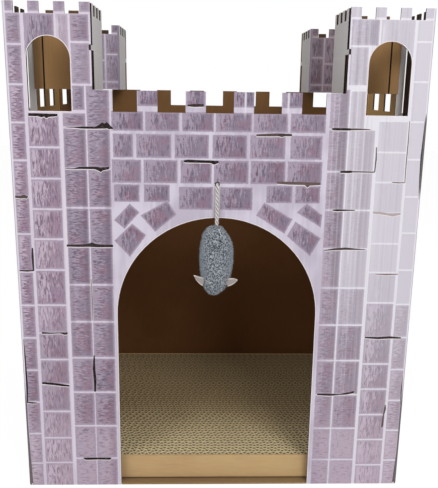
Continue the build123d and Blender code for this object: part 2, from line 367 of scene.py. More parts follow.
def groundTone(add, coords, paintedLight, onLeft, onRight):
    # smooth lilac that runs in soft upright streaks, palest on the right tower, where it carries painted glare
    drift = mottled(add, coords, 4.5, 3, (1, 1, 0.05))
    clouds = mottled(add, coords, 40, 2)
    streaked = add("step", add("add", add("multiply", drift, 0.6), clouds), 0.6, 1.0)
    ground = add("mix", streaked, printLook["ground"], printLook["groundPale"])
    ground = add("mix", onLeft, ground, printLook["groundLeft"])
    return add("mix", add("maximum", paintedLight, onRight), ground, printLook["groundLit"])


def stoneTone(add, coords, place, onFront, readAcross):
    # hewn grain: level wavelets on some stones, upright squiggles on others, drawn about as coarse as printed
    x, _, z = place
    rise, across, grain = readAcross
    aside = add("absolute", x)
    level = mottled(add, coords, 1.4, 2, (0.26, 0.26, 1), 0.6, 0.4)
    upright = mottled(add, coords, 1.6, 2, (1, 1, 0.19), 0.6, 0.8)
    strokes = add("ShaderNodeMix", grain, level, upright, data_type="FLOAT")
    hue = add("multiply_add", z, -0.5, add("add", mottled(add, coords, 11, 2), 0.06))
    stone = add("mix", add("step", hue, 0.25, 0.6), printLook["stoneCool"], printLook["stoneWarm"])
    # the left tower's outer stones and both towers' feet show paler stone under stronger strokes
    column = printAt["outerColumn"]
    foot = add("multiply", add("step", z, *printAt["foot"]), add("step", aside, *printAt["towers"]))
    outerLeft = add("multiply", add("step", x, *(-p for p in column)), add("step", z, *printAt["outerLow"]),
                    add("step", z, *printAt["outerHigh"]))
    outerLeft = add("multiply", add("maximum", outerLeft, foot), onFront)
    lowRight = add("multiply", add("step", x, *column, 0.0, 1.6), add("step", z, *printAt["lowRight"]), onFront)
    bold = add("maximum", add("multiply", outerLeft, add("step", aside, *column)), lowRight)
    paleStone = add("mix", foot, printLook["stoneLeft"], printLook["stoneFoot"])
    stone = add("mix", add("multiply", outerLeft, add("multiply_add", foot, 0.1, 0.55)), stone, paleStone)
    strokeLight = add("mix", bold, printLook["stoneLight"], printLook["lightLeft"])
    strokeDark = add("mix", bold, printLook["stoneDark"], printLook["darkLeft"])
    light = add("multiply_add", across, -0.3, add("multiply_add", rise, 0.1, strokes))
    stone = add("mix", add("step", light, 0.4, 0.54, 0.0, 0.7), stone, strokeLight)
    darkShare = add("multiply", add("step", strokes, 0.48, 0.38), add("multiply_add", bold, 0.1, 0.6))
    return add("mix", darkShare, stone, strokeDark)


def addBands(add, coords, place, color, paintedLight, onFront):
    # fine upright bands and the lines that stand out among them
    x, _, z = place
    bands = mottled(add, coords, 2.4, 2, (1, 1, 0.006))
    inBands = add("multiply", paintedLight, onFront, add("step", x, *printAt["bandedX"]))
    for lines, tone, low, high, strength in (("shades", "stoneDark", 0.47, 0.36, 0.14),
                                             ("streaks", "groundLit", 0.53, 0.64, 0.26)):
        band = add("multiply", add("step", bands, low, high), inBands, strength)
        line = add("multiply", upLines(add, x, z, printLook[lines]), onFront)
        color = add("mix", add("maximum", band, line), color, printLook[tone])
    return color


def addRearTowers(add, place, color, innerSide):
    # the inner sides, pale print, are painted near white as painted light, the rear right tower's face is
    # darkened as painted shade, and the rear towers' print runs round their folds
    x, y, _ = place
    color = add("mix", add("multiply", innerSide, 0.75), color, printLook["innerSide"])
    low, high = printAt["rearFace"]
    rearRightShade = add("multiply", add("greater_than", x, *printAt["inner"]),
                    add("greater_than", y, low), add("less_than", y, high))
    color = add("mix", rearRightShade, color, printLook["rearRightShade"], blend_type="MULTIPLY")
    roundFold = 0.8
    for socket, (low, high) in ((add("absolute", x), printAt["rearFoldX"]), (y, printAt["rearFoldY"])):
        roundFold = add("multiply", roundFold, add("greater_than", socket, low), add("less_than", socket, high))
    return add("mix", roundFold, color, printLook["stoneCool"])


def addFoldShade(add, place, color):
    # painted shade along the rounded front folds, on their side away from the light: low on both sides and high on
    # the right
    x, y, z = place
    past = [add("subtract", add("absolute", socket), bend) for socket, bend in zip((x, y), printAt["fold"])]
    onFold = add("step", add("minimum", *past), *printAt["onFold"])
    low = add("step", z, *printAt["foldShadeLow"])
    high = add("multiply", add("step", z, *printAt["foldShadeFrom"]), add("step", z, *printAt["foldShadeTo"]),
               add("greater_than", x, 0.0))
    shadedFold = add("multiply", onFold, add("maximum", low, high), 0.85)
    return add("mix", shadedFold, color, printLook["foldShade"])


def printMaterial():
    # white-lined board, offset printed and aqueous varnished: lilac ground and violet stones with a soft sheen;
    # the stones are where the piece has the attribute ink, 0 at a stone's border and 1 in its middle
    material, add, setShader, coords = newMaterial("printed white liner")
    ink, tint, *readAcross = (add("ShaderNodeAttribute", attribute_name=name).outputs["Fac"]
                              for name in ("ink", "tint", "rise", "across", "grain"))
    place = x, y, z = tuple(add("split", coords).outputs)
    aside = add("absolute", x)
    onFront = add("less_than", y, *printAt["front"])
    # painted light: a lamp's glare on the right tower's varnish, strongest in its upper part, and the towers' inner
    # sides lightened all over
    innerSide = add("multiply", add("less_than", aside, *printAt["inner"]),
                    add("greater_than", z, *printAt["innerFoot"]), add("subtract", 1.0, onFront))
    paintedLight = add("multiply", add("step", x, *printAt["rightTower"]), add("step", z, *printAt["paintedLight"]), onFront)
    paintedLight = add("maximum", paintedLight, innerSide)
    onLeft = add("multiply", add("step", x, *printAt["leftTower"], 0.0, 0.7), onFront)
    onRight = add("multiply", add("step", x, *printAt["rightTower"], 0.0, 0.75), onFront)
    ground = groundTone(add, coords, paintedLight, onLeft, onRight)
    stone = stoneTone(add, coords, place, onFront, readAcross)
    # a stone builds up raggedly from its border, inside a pale rim
    built = add("multiply_add", mottled(add, coords, 2.6, 3), 0.34, add("subtract", ink, 0.17))
    stone = add("mix", add("step", built, 0.05, 0.62), printLook["stoneEdge"], stone)
    stone = add("mix", tint, stone, add("mix", paintedLight, printLook["stonePale"], printLook["stoneLit"]))
    rim = add("multiply", add("step", ink, 0.0, 0.04), add("multiply_add", onLeft, -0.5, 0.7))
    border = add("mix", rim, ground, printLook["rim"])
    printed = add("multiply", add("step", built, -0.06, 0.1), add("step", ink, 0.0, 0.015))
    color = add("mix", printed, border, stone)
    color = addBands(add, coords, place, color, paintedLight, onFront)
    color = addRearTowers(add, place, color, innerSide)
    color = addFoldShade(add, place, color)
    bump = add("ShaderNodeBump", {"Strength": 0.12, "Distance": 0.05 * mm, "Height": fluteWaves(add, coords)})
    setShader({"Base Color": color, "Normal": bump, "Roughness": 0.48, "IOR": boardIor})
    return material


def edgeMaterial(name, outerX, outerY):
    # die-cut edge: two thin liners with the E flute between them, seen end on at the top, and down the sides painted
    # dark as a slit, painted shade; outerX and outerY are the printed planes in mm
    material, add, setShader, coords = newMaterial(name)
    x, y, _ = add("split", coords).outputs
    depths = [add("absolute", add("subtract", add("absolute", socket), outer * mm))
              for socket, outer in ((x, outerX), (y, outerY))]
    depth = add("divide", add("minimum", *depths), boardLook["thickness"] * mm)
    isLiner = add("greater_than", add("absolute", add("subtract", depth, 0.5)), 0.36)
    phase = add("multiply", add("add", x, y), 2 * math.pi / (boardLook["flutePitch"] * mm))
    wave = add("multiply_add", add("sine", phase), 0.36, 0.5)
    nearWave = add("less_than", add("absolute", add("subtract", wave, depth)), 0.16)
    normal = add("ShaderNodeNewGeometry").outputs["Normal"]
    isTop = add("greater_than", add("absolute", add("split", normal).outputs[2]), 0.5)
    top = add("mix", add("maximum", isLiner, nearWave), boardLook["edgeShade"], boardLook["edgeCream"])
    # painted shade: down the sides the cut edge is a dark slit
    side = add("mix", isLiner, boardLook["edgeHollow"], boardLook["edgeShade"])
    setShader({"Base Color": add("mix", isTop, side, top), "Roughness": 0.9})
    return material


sheetKraft = kraftMaterial("brown kraft liner", boardLook["sheetKraft"], boardLook["sheetKraftLit"])
panelKraft = kraftMaterial("golden kraft liner", boardLook["panelKraft"], boardLook["panelKraft"])
# unprinted white liner of the side walls' tabs: smooth, matt
bareLiner = plainMaterial("bare white liner", boardLook["bareLiner"], 0.6)
printedLiner = printMaterial()
sheetEdge = edgeMaterial("cut edge of the sheets", castleSize["side"], castleSize["front"])
panelEdge = edgeMaterial("cut edge of the tower panels", castleSize["towerInner"], castleSize["towerBack"])
sideEdge = edgeMaterial("cut edge of the side walls", castleSize["side"], castleSize["sideWallEnd"])


def cornerDepth(x, y, halfX, halfY, radius):
    # how deep a point lies under the printed side of a folded sheet, mm
    if x > halfX - radius and y > halfY - radius:
        return radius - math.hypot(x - halfX + radius, y - halfY + radius)
    return min(abs(halfX - x), abs(halfY - y))


panelHook = {"from": 181, "degrees": 4}  # the panels lean from here to their hooks


def panelDepth(x, y):
    # the same for the tower panels, whose printed side looks to the middle of the castle
    inner, back, bend = (castleSize[k] for k in ("towerInner", "towerBack", "bend"))
    y -= max(0.0, x - panelHook["from"]) * math.tan(math.radians(panelHook["degrees"]))
    if x < inner + bend and y < back + bend:
        return bend - math.hypot(inner + bend - x, back + bend - y)
    return min(x - inner, y - back)


def dressSheets():
    # printed side, kraft side or cut edge, told face by face from the depth of its corners in the board
    printedSlot, kraftSlot, edgeSlot, bareSlot = range(4)
    for name in castleNodes + panelNodes:
        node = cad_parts[name]
        mesh = node.data
        mesh.materials.clear()
        edge = panelEdge if name in panelNodes else sheetEdge if "sheet" in name else sideEdge
        kraft = panelKraft if name in panelNodes else sheetKraft
        for material in (printedLiner, kraft, edge, bareLiner):
            mesh.materials.append(material)
        outerY = castleSize["front"] if "sheet" in name else castleSize["sideWallEnd"]
        depths = []
        for vertex in mesh.vertices:
            x, y = abs(vertex.co.x) / mm, abs(vertex.co.y) / mm
            if name in panelNodes:
                depths.append(panelDepth(x, y))
            else:
                depths.append(cornerDepth(x, y, castleSize["side"], outerY, castleSize["bend"]))
        for face in mesh.polygons:
            corners = [depths[i] for i in face.vertices]
            if max(corners) < boardLook["printDepth"]:
                # the side walls' tabs look to the front and the back, and are bare
                isTab = "side" in name and abs(face.normal.y) > 0.9
                face.material_index = bareSlot if isTab else printedSlot
            else:
                face.material_index = kraftSlot if min(corners) > boardLook["kraftDepth"] else edgeSlot


dressSheets()
print("sheets dressed")

# Printed stonework: thin layers of ink that lie on the outer faces and are cut by their openings

stoneLook = {
    "lift": 0.04,      # mm that each layer of ink stands on the one below
    "joint": 1.5,      # mm between two stones of a tower
    "seed": 7,
    "footFade": (160, 220),  # mm, heights over which the right tower's painted glare gives way downwards to the foot's tint
    # tint at the foot for columns that start past an x in mm
    "footTints": ((180, 0.46), (150, 0.3), (-200, 0.22)),
    "lowestPaler": 0.1,     # the lowest stones of both towers are paler by this
    "lowestTop": 58,
    "courseHeight": 37,     # mm, stones on faces that the photograph doesn't show
    "courseLength": 36,
    "shortest": 6,
}
columnLeft = {
    # x range, z of the joints, grain 0 level or 1 upright, tint 0 full print or 1 palest
    "outer": ((-197.6, -184.0),
              (-3, 26.3, 61.3, 97.7, 133.7, 169.3, 204.3, 239.3, 278, 315, 350.3, 386, 421, 457, 485), 0.1, 0.12),
    "middle": ((-181.3, -152.4),
               (-3, 27, 56.3, 87, 117.6, 145.6, 174.6, 204.6, 241.5, 273, 303, 333, 363, 393.5), 0.95, 0.14),
    "innerA": ((-148.6, -126.9), (-3, 32, 70.3, 109, 147.6, 187, 226.3, 266, 304.7, 343, 382, 396), 0.05, 0.12),
    "innerB": ((-126.3, -104.4), (-3, 32, 70.3, 109, 147.6, 187, 226.3, 266, 304.7, 343, 382, 421.5), 0.05, 0.08),
    "besideWindowLow": ((-138.8, -127.6), (397.5, 421.5), 0.1, 0.1),
    "besideWindow": ((-138.8, -121.5), (421.5, 459.7, 485), 0.2, 0.2),
    "overWindow": ((-181, -153.3), (447, 485), 1.0, 0.12),
    "cornerOverWindow": ((-151.5, -140.5), (440, 485), 1.0, 0.5),
}
# the right tower's high tints are painted glare, a lamp's sheen on its varnish
columnRight = {
    "outer": ((183.6, 198.2),
              (-3, 28.6, 64.6, 99.6, 135, 171, 207, 243.6, 282, 318.7, 355.3, 391.3, 428.7, 465, 485), 0.1, 1.0),
    "middle": ((153.3, 181.2),
               (-3, 23, 53.6, 83, 112.6, 141.3, 170.6, 208.6, 241, 271, 302, 332.7, 362, 392), 0.9, 0.95),
    "innerDark": ((105.2, 123.6),
                  (-3, 29.6, 67, 106.3, 145, 184.3, 224.3, 265.3, 304.7, 342.7, 383.7, 421.5), 0.2, 0.3),
    "innerPale": ((124.6, 150.2),
                  (-3, 29.6, 67, 106.3, 145, 184.3, 224.3, 265.3, 304.7, 342.7, 383.7), 0.4, 0.7),
    "besideWindowLow": ((124.6, 138.8), (383.7, 420), 0.6, 0.7),
    "besideWindow": ((121.5, 138.8), (424, 460.3), 0.5, 0.6),
    "cornerOverWindow": ((121.5, 147.5), (460.3, 485), 0.5, 0.45),
    "overWindow": ((149.3, 181), (450, 485), 0.9, 0.85),
}
wallRows = [
    # low, high, stones from left to right
    (379.4, 398, ((-103, -72.6), (-71, -38.2), (-36, -5.4), (-3.8, 31.2), (32.4, 65.6), (67.8, 102))),
    (354, 377, ((-102, -82.6), (-79.8, -46), (-43, -10), (-6.6, 26.8), (29.4, 64), (68.4, 99.6))),
    (329.6, 352.4, ((-103.6, -75), (-73, -40), (-37.4, -7), (-5, 29), (30.6, 64.8), (66.6, 100.6))),
    (311, 328.4, ((-102, -77), (-73, -47.6), (46.6, 72.4), (75, 100))),
    (303.7, 326.6, ((-39, -5.4), (1.2, 33.4))),
    (402.6, 419, ((-78, -56.6), (-32, -13.8), (12.8, 33), (59.4, 81.2))),
]
archStones = [
    ((-102.7, 292.7), (-86.7, 309.7), (-77.3, 300.7), (-92.3, 283.7)),
    ((-76.7, 297.7), (-50, 313), (-41.0, 298.7), (-62.3, 281)),
    ((-102.7, 272), (-85, 289.7), (-70.7, 278), (-87.3, 255)),
    ((37.0, 298.7), (45, 312), (73.7, 295.4), (66, 280)),
    ((77.0, 302), (87, 311.4), (103.0, 300.0), (102.3, 286.7)),
    ((68.3, 278), (76.3, 293), (103.0, 276.3), (92.7, 257)),
]
towerTops = ((120, 130), (143.3, 153.3), (166.7, 176.7), (190, 200))


def clamped(value):
    # between 0 and 1
    return max(0.0, min(1.0, value))


def rectangle(low, high, bottom, top):
    return ((low, bottom), (high, bottom), (high, top), (low, top))


def merlonStones(side, tint):
    # one stone in each merlon of a tower
    outlines = [sorted((side * low, side * high)) for low, high in towerTops]
    return [(rectangle(*outline, *castleSize["merlon"]), tint, 0.3) for outline in outlines]


def columnStones(columns, rng):
    # outline, tint, grain; towards the foot the right tower's painted glare weakens, and the lowest stones are paler
    gap = stoneLook["joint"] / 2
    fadeLow, fadeHigh = stoneLook["footFade"]
    stones = []
    for (low, high), joints, grain, pale in columns.values():
        lowest = next(tint for start, tint in stoneLook["footTints"] if low > start)
        for bottom, top in zip(joints, joints[1:]):
            foot = 1 - clamped((bottom - fadeLow) / (fadeHigh - fadeLow))
            tint = pale + (lowest - pale) * foot if columns is columnRight else pale
            tint += stoneLook["lowestPaler"] if bottom < stoneLook["lowestTop"] else 0.0
            tint = clamped(tint + rng.uniform(-0.08, 0.08))
            stones.append((rectangle(low, high, bottom + gap, top - gap), tint, grain))
    return stones


def frontStones():
    rng = random.Random(stoneLook["seed"])
    stones = columnStones(columnLeft, rng) + columnStones(columnRight, rng)
    for bottom, top, row in wallRows:
        for low, high in row:
            stones.append((rectangle(low, high, bottom, top), rng.uniform(0, 0.12), 0.8))
    # the right tower's merlons carry the painted glare as well
    return stones + merlonStones(-1, 0.25) + merlonStones(1, 0.85)


def coursedStones(low, high, bottom, top, seed, pale=0.0):
    # running courses like the front's, for faces that the photograph doesn't show
    rng = random.Random(seed)
    stones = []
    courses = max(1, round((top - bottom) / stoneLook["courseHeight"]))
    length = stoneLook["courseLength"]
    height = (top - bottom) / courses
    gap = stoneLook["joint"] / 2
    for i in range(courses):
        left = low - (length / 2 if i % 2 else 0)
        while left < high:
            right = left + length + rng.uniform(-3, 3)
            start, end = max(left, low) + gap, min(right, high) - gap
            if end - start > stoneLook["shortest"]:
                outline = rectangle(start, end, bottom + i * height + gap, bottom + (i + 1) * height - gap)
                stones.append((outline, pale + rng.uniform(0, 0.2), rng.choice((0.1, 0.8, 0.9))))
            left = right
    return stones


panelColumns = [
    # x range and z of the joints on the rear towers' faces that look to the front
    ((118, 137.5), (417, 426.5, 460, 485)),
    ((139, 182), (417, 426.5, 452.7, 485)),
]


def panelStones(side):
    # the rear left tower's stones are a little paler than the right one's
    stones = []
    for (low, high), joints in panelColumns:
        left, right = sorted((side * low, side * high))
        for bottom, top in zip(joints, joints[1:]):
            stones.append((rectangle(left, right, bottom + 0.6, top - 0.6), 0.0 if side > 0 else 0.15, 0.9))
    return stones + merlonStones(side, 0.0)


def turnedLeft(outline):
    # outline with its corners anticlockwise
    closed = list(outline) + [outline[0]]
    area = sum(a[0] * b[1] - b[0] * a[1] for a, b in zip(closed, closed[1:]))
    return list(outline) if area > 0 else list(outline)[::-1]


def clipPolygon(shape, outline):
    # part of a convex shape that lies inside a convex outline
    for (x0, y0), (x1, y1) in zip(outline, outline[1:] + outline[:1]):
        if len(shape) < 3:
            return []
        kept = []
        sides = [(x1 - x0) * (y - y0) - (y1 - y0) * (x - x0) for x, y in shape]
        for i, (point, side) in enumerate(zip(shape, sides)):
            last, lastSide = shape[i - 1], sides[i - 1]
            if (side > 0) != (lastSide > 0):
                t = lastSide / (lastSide - side)
                kept.append((last[0] + (point[0] - last[0]) * t, last[1] + (point[1] - last[1]) * t))
            if side > 0:
                kept.append(point)
        shape = kept
    return shape


def edgeDistance(point, outline):
    # how far a point lies inside a convex outline
    return min(((x1 - x0) * (point[1] - y0) - (y1 - y0) * (point[0] - x0)) / math.hypot(x1 - x0, y1 - y0)
               for (x0, y0), (x1, y1) in zip(outline, outline[1:] + outline[:1]))


def insetOutline(outline, distance):
    # corners moved inwards along both their sides
    moved = []
    for i, (x, y) in enumerate(outline):
        before = Vector(outline[i]) - Vector(outline[i - 1])
        after = Vector(outline[(i + 1) % len(outline)]) - Vector(outline[i])
        n0 = Vector((-before.y, before.x)).normalized()
        n1 = Vector((-after.y, after.x)).normalized()
        shift = (n0 + n1) / (1 + n0.dot(n1))
        moved.append((x + distance * shift.x, y + distance * shift.y))
    return moved


def newPiece(name, mesh, material=None):
    # an object at the origin, with its place in its mesh
    if material:
        mesh.materials.append(material)
    piece = bpy.data.objects.new(name, mesh)
    bpy.context.collection.objects.link(piece)
    return piece


def ridePiece(piece, body, replaced=None):
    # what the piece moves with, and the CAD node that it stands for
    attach(piece, body)
    if replaced:
        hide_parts(replaced)


def flatFaces(nodeNames, axis, place):
    # triangles of the nodes that lie in one printed plane, as flat points in mm; axis 0 is X, 1 is Y
    across = 1 - axis
    found = []
    for name in nodeNames:
        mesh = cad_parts[name].data
        for face in mesh.polygons:
            points = [mesh.vertices[i].co / mm for i in face.vertices]
            inPlane = abs(face.normal[axis]) > 0.99 and all(abs(p[axis] - place) < 0.02 for p in points)
            if inPlane and (face.normal[axis] * place > 0 or name in panelNodes):
                found.append(turnedLeft([(p[across], p[2]) for p in points]))
    return found


def inkLayer(name, flats, material, softEdge, layer):
    # one mesh of ink for a list of (faces, axis, place, outward sign, [(outline, tint, grain)])
    points, faces = [], []
    values = {"ink": [], "tint": [], "rise": [], "across": [], "grain": []}
    for triangles, axis, place, sign, shapes in flats:
        for outline, tint, grain in shapes:
            outline = turnedLeft(outline)
            xs, zs = [p[0] for p in outline], [p[1] for p in outline]
            parts = [outline]
            if softEdge:
                middle = (sum(xs) / len(xs), sum(zs) / len(zs))
                inset = min(softEdge, 0.9 * edgeDistance(middle, outline))
                inner = insetOutline(outline, inset)
                corners = zip(outline, outline[1:] + outline[:1], inner[1:] + inner[:1], inner)
                parts = [inner] + [list(side) for side in corners]
            for triangle in triangles:
                if max(p[0] for p in triangle) < min(xs) or min(p[0] for p in triangle) > max(xs):
                    continue
                if max(p[1] for p in triangle) < min(zs) or min(p[1] for p in triangle) > max(zs):
                    continue
                for part in parts:
                    piece = clipPolygon(triangle, part)
                    if len(piece) < 3:
                        continue
                    start = len(points)
                    for p in piece:
                        position = [0, 0, p[1]]
                        position[axis] = place + sign * layer * stoneLook["lift"]
                        position[1 - axis] = p[0]
                        points.append(Vector(position) * mm)
                        share = edgeDistance(p, outline) / softEdge if softEdge else 1
                        values["ink"].append(clamped(share))
                        values["tint"].append(tint)
                        values["grain"].append(grain)
                        values["rise"].append((p[1] - min(zs)) / (max(zs) - min(zs)))
                        values["across"].append((p[0] - min(xs)) / (max(xs) - min(xs)))
                    order = list(range(start, start + len(piece)))
                    flipped = (sign > 0) == (axis == 1)
                    faces.append(order[::-1] if flipped else order)
    mesh = bpy.data.meshes.new(name)
    mesh.from_pydata(points, [], faces)
    for label, numbers in values.items():
        mesh.attributes.new(label, "FLOAT", "POINT").data.foreach_set("value", numbers)
    ridePiece(newPiece(name, mesh, material), "castle")


crackLook = {
    "brown": "85706e",
    "core": "1a0f10",
    "pale": "ece4e6",
    "widen": 1.1,        # strokes against the widths listed below
    "lip": 1.3,          # mm, the pale line under a crack
    "cutLine": 0.65,     # mm, the bare line round each opening
    "cutGap": 0.4,       # mm from the opening to the middle of that line
    "hemLine": 1.2,      # mm, the bare line along the tower panels' lower edge
    "thinnest": 0.2,
}


def crackInk():
    # overprint that draws chipped joints, matt and even: dark brown strokes with a pale lower lip, and the pale
    # die-cut outlines; tint 0 is the dark core, 0.5 the brown and 1 the pale lip
    material, add, setShader, coords = newMaterial("brown crack ink")
    tint = add("ShaderNodeAttribute", attribute_name="tint").outputs["Fac"]
    mottle = mottled(add, coords, 2.2, 3)
    core = add("mix", add("step", mottle, 0.5, 0.75, 0.0, 0.35), crackLook["core"], crackLook["brown"])
    color = add("mix", add("step", tint, 0.0, 0.5), core, crackLook["brown"])
    color = add("mix", add("step", tint, 0.5, 1.0), color, crackLook["pale"])
    setShader({"Base Color": color, "Roughness": 0.6, "IOR": boardIor, "Specular IOR Level": 0.2})
    return material


def stroke(points, tint, drop=0.0, width=None):
    # a line of four-sided pieces through (x, z, width) points, joined without gap or overlap
    widths = [width or max(crackLook["thinnest"], w * crackLook["widen"]) for x, z, w in points]
    wide, high = (max(p[k] for p in points) - min(p[k] for p in points) for k in (0, 1))
    straight = (0, 1) if wide > 4 * high else (1, 0) if high > 4 * wide else None
    normals = []
    for i in range(len(points)):
        if straight:
            normals.append(straight)
            continue
        before, after = points[max(i - 1, 0)], points[min(i + 1, len(points) - 1)]
        dx, dz = after[0] - before[0], after[1] - before[1]
        length = math.hypot(dx, dz)
        normals.append((-dz / length, dx / length))
    rails = []
    for sign in (-0.5, 0.5):
        rails.append([(x + sign * nx * across, z + sign * nz * across - drop * w * crackLook["widen"] / 2)
                      for (x, z, w), (nx, nz), across in zip(points, normals, widths)])
    low, high = rails
    return [((low[i], low[i + 1], high[i + 1], high[i]), tint, 0) for i in range(len(points) - 1)]


cracksFront = [
    # tone from 0 dark to 0.5 brown, then x, z and width in mm along each chipped joint; the strokes at x ±197 are
    # painted shade down the rounded folds
    (0.0, ((-180.6, 393.4, 2.4), (-172, 393.4, 2.6), (-168, 392.8, 3.4), (-166, 393.2, 2.6), (-164, 392.4, 4.2),
           (-161, 393.0, 2.8), (-153.3, 393.4, 2.0))),
    (0.05, ((-146, 382.2, 0.4), (-138, 382, 0.8), (-131, 382, 1.8), (-118, 382, 2.0), (-114.4, 383.0, 3.4),
            (-111.5, 384.2, 5.4), (-109.4, 383.6, 4.4), (-107, 384.6, 5.4), (-105, 383.0, 4.4), (-103.4, 382.4, 2.6),
            (-101.6, 381.6, 1.6))),
    (0.05, ((-148.3, 342.6, 0.5), (-139, 342.8, 0.9), (-135, 343.6, 1.8), (-120, 343.8, 2.2), (-116, 342.8, 3.4),
            (-114, 342.0, 4.2), (-112, 343.0, 3.0), (-106, 343.8, 2.0))),
    (0.2, ((-200, 315.2, 1.8), (-192, 314.6, 2.4), (-189, 315.4, 3.4), (-186.4, 314.6, 2.6), (-185, 315, 1.0))),
    (0.1, ((-149.6, 266.6, 2.0), (-136, 266.6, 2.4), (-128, 267.2, 3.0), (-124.6, 267.8, 4.4), (-122, 267, 3.4),
           (-118, 266.6, 2.8), (-104, 266.6, 2.4))),
    (0.1, ((-183.4, 264, 1.2), (-183.6, 255, 2.0), (-183.4, 241, 1.4))),
    (0.1, ((-198, 240.6, 1.0), (-190, 240.4, 1.6), (-183, 240.8, 1.2))),
    (0.1, ((-178.3, 174.8, 2.0), (-170, 174.4, 1.2), (-160, 174.8, 0.9), (-155, 174.0, 2.6), (-152.3, 174.4, 2.0))),
    (0.0, ((-180.7, 119.4, 2.0), (-170, 118.4, 2.3), (-160, 117.0, 2.3), (-152.7, 116.2, 1.7))),
    (0.0, ((-126, 150.3, 1.1), (-126.6, 136, 2.4), (-125.8, 122, 2.4), (-126.2, 109.6, 1.6))),
    (0.25, ((-126.5, 232, 0.5), (-126.3, 210, 0.9), (-126.6, 188.6, 0.5))),
    (0.0, ((-140.7, 31.9, 1.4), (-138, 31.4, 2.4), (-126, 31.6, 2.3), (-113, 31.4, 2.4), (-111.3, 31.6, 1.4))),
    (0.1, ((-198, 97.6, 1.2), (-192, 96.8, 1.7), (-187, 96.6, 0.9))),
    (0.1, ((-30.6, 403.9, 1.4), (-24, 404, 2.6), (-15.4, 404.2, 2.4))),
    (0.2, ((35.4, 376.8, 1.6), (46, 377.2, 2.4), (56, 377.6, 2.6))),
    (0.15, ((56, 377.6, 2.4), (60, 377.2, 3.2), (63, 377.5, 2.2), (69.6, 377.4, 2.0))),
    (0.0, ((-34, 351.2, 1.8), (-30, 351.4, 2.8), (-20, 351.2, 2.4), (-8, 351.0, 2.4), (-5, 350.2, 3.6),
           (-0.6, 350.8, 2.0))),
    (0.25, ((56.8, 331.4, 2.0), (68, 331.0, 2.6), (84, 330.8, 2.6), (86, 329.8, 4.2), (87.3, 329.4, 4.8),
            (89, 330.4, 3.0), (99.4, 330.6, 2.2))),
    (0.05, ((107.6, 383.8, 0.9), (110, 383.6, 2.2), (122, 383.6, 2.2), (126, 383.6, 1.8))),
    (0.2, ((126, 383.6, 1.8), (134, 383.8, 1.4), (145, 383.6, 0.7))),
    (0.05, ((118.3, 342.6, 1.8), (128, 342.8, 2.2), (130, 342.8, 1.6))),
    (0.1, ((130, 342.8, 1.1), (138, 342.8, 1.0), (151.7, 342.7, 1.0))),
    (0.15, ((152.1, 342.7, 0.9), (152.6, 355, 1.1), (152.2, 367, 0.8))),
    (0.3, ((170, 332.9, 0.6), (176, 332.5, 1.0), (182.3, 332.7, 0.7))),
    (0.25, ((182.7, 332.7, 0.6), (182.5, 352, 0.8), (182.8, 372, 0.8), (182.6, 392, 0.5))),
    (0.1, ((113, 304.7, 1.0), (117, 304.5, 1.8), (124, 304.7, 1.4), (135, 304.8, 0.8))),
    (0.7, ((153.3, 302.6, 1.8), (160, 302.2, 2.2), (168, 301.0, 2.0), (173, 300.4, 3.0), (181, 301.6, 1.6))),
    (0.15, ((106.7, 263.6, 0.7), (116, 264.8, 1.8), (128, 265.6, 2.2), (140, 265.0, 1.2), (148.3, 264.6, 0.7))),
    (0.4, ((160, 239.2, 0.6), (172, 238.8, 1.2), (183.3, 239.2, 0.7))),
    (0.1, ((154, 170.8, 1.4), (168, 170.2, 2.3), (180, 171, 2.3), (191.7, 170.4, 1.4))),
    (0.1, ((107.3, 106.6, 1.7), (120, 106.2, 2.4), (126, 106.2, 1.8), (131, 106.4, 1.0), (138, 107.4, 2.0),
           (146.4, 109.2, 2.2))),
    # painted shade down the rounded folds at x ±197
    (0.1, ((197.4, 392, 0.4), (197.4, 380, 1.0), (197.2, 358, 2.0), (197.3, 340, 1.4), (197.4, 322, 0.4))),
    (0.0, ((-197.2, 168, 0.6), (-197.0, 150, 1.4), (-196.8, 116, 2.2), (-197.0, 98, 1.2))),
    (0.3, ((-197.4, 62, 0.4), (-197.3, 34, 1.0), (-196.9, 2, 1.8))),
    (0.0, ((197.4, 128, 0.6), (197.2, 112, 1.4), (197.4, 94, 0.6))),
    (0.3, ((197.4, 40, 0.4), (197.2, 22, 1.2), (196.7, 2, 2.2))),
    (0.25, ((181, 94.6, 0.7), (181.2, 90, 2.0), (180, 82, 1.2), (179.5, 71, 2.0), (179.3, 67.6, 1.0))),
]


openings = {
    # mm: middle, width, lowest and highest point
    "door": (0, 202, -2, 296),
    "window": (160, 40.4, 397, 465),
    "sill": (139.3, 180.7, 396.5),
    "hole": (-1.5, 329),      # x and z of the cord's hole
    "holeShade": (2.2, 1.3),  # radius and width of the painted shade over it, where the hole's dark inside shows
}


def archLine(centre, width, bottom, top):
    # points round an opening with a round head, a little away from its edge
    radius = width / 2 + crackLook["cutGap"]
    spring = top - width / 2
    points = [(centre - radius, bottom, 1), (centre - radius, spring, 1)]
    steps = 24
    for i in range(1, steps):
        angle = math.pi * (1 - i / steps)
        points.append((centre + radius * math.cos(angle), spring + radius * math.sin(angle), 1))
    return points + [(centre + radius, spring, 1), (centre + radius, bottom, 1)]


def holeArc(radius, start, end):
    # part of a ring round the cord's hole, angles in degrees from +X
    steps = 8
    x, z = openings["hole"]
    angles = [math.radians(start + (end - start) * i / steps) for i in range(steps + 1)]
    return [(x + radius * math.cos(a), z + radius * math.sin(a), 1) for a in angles]


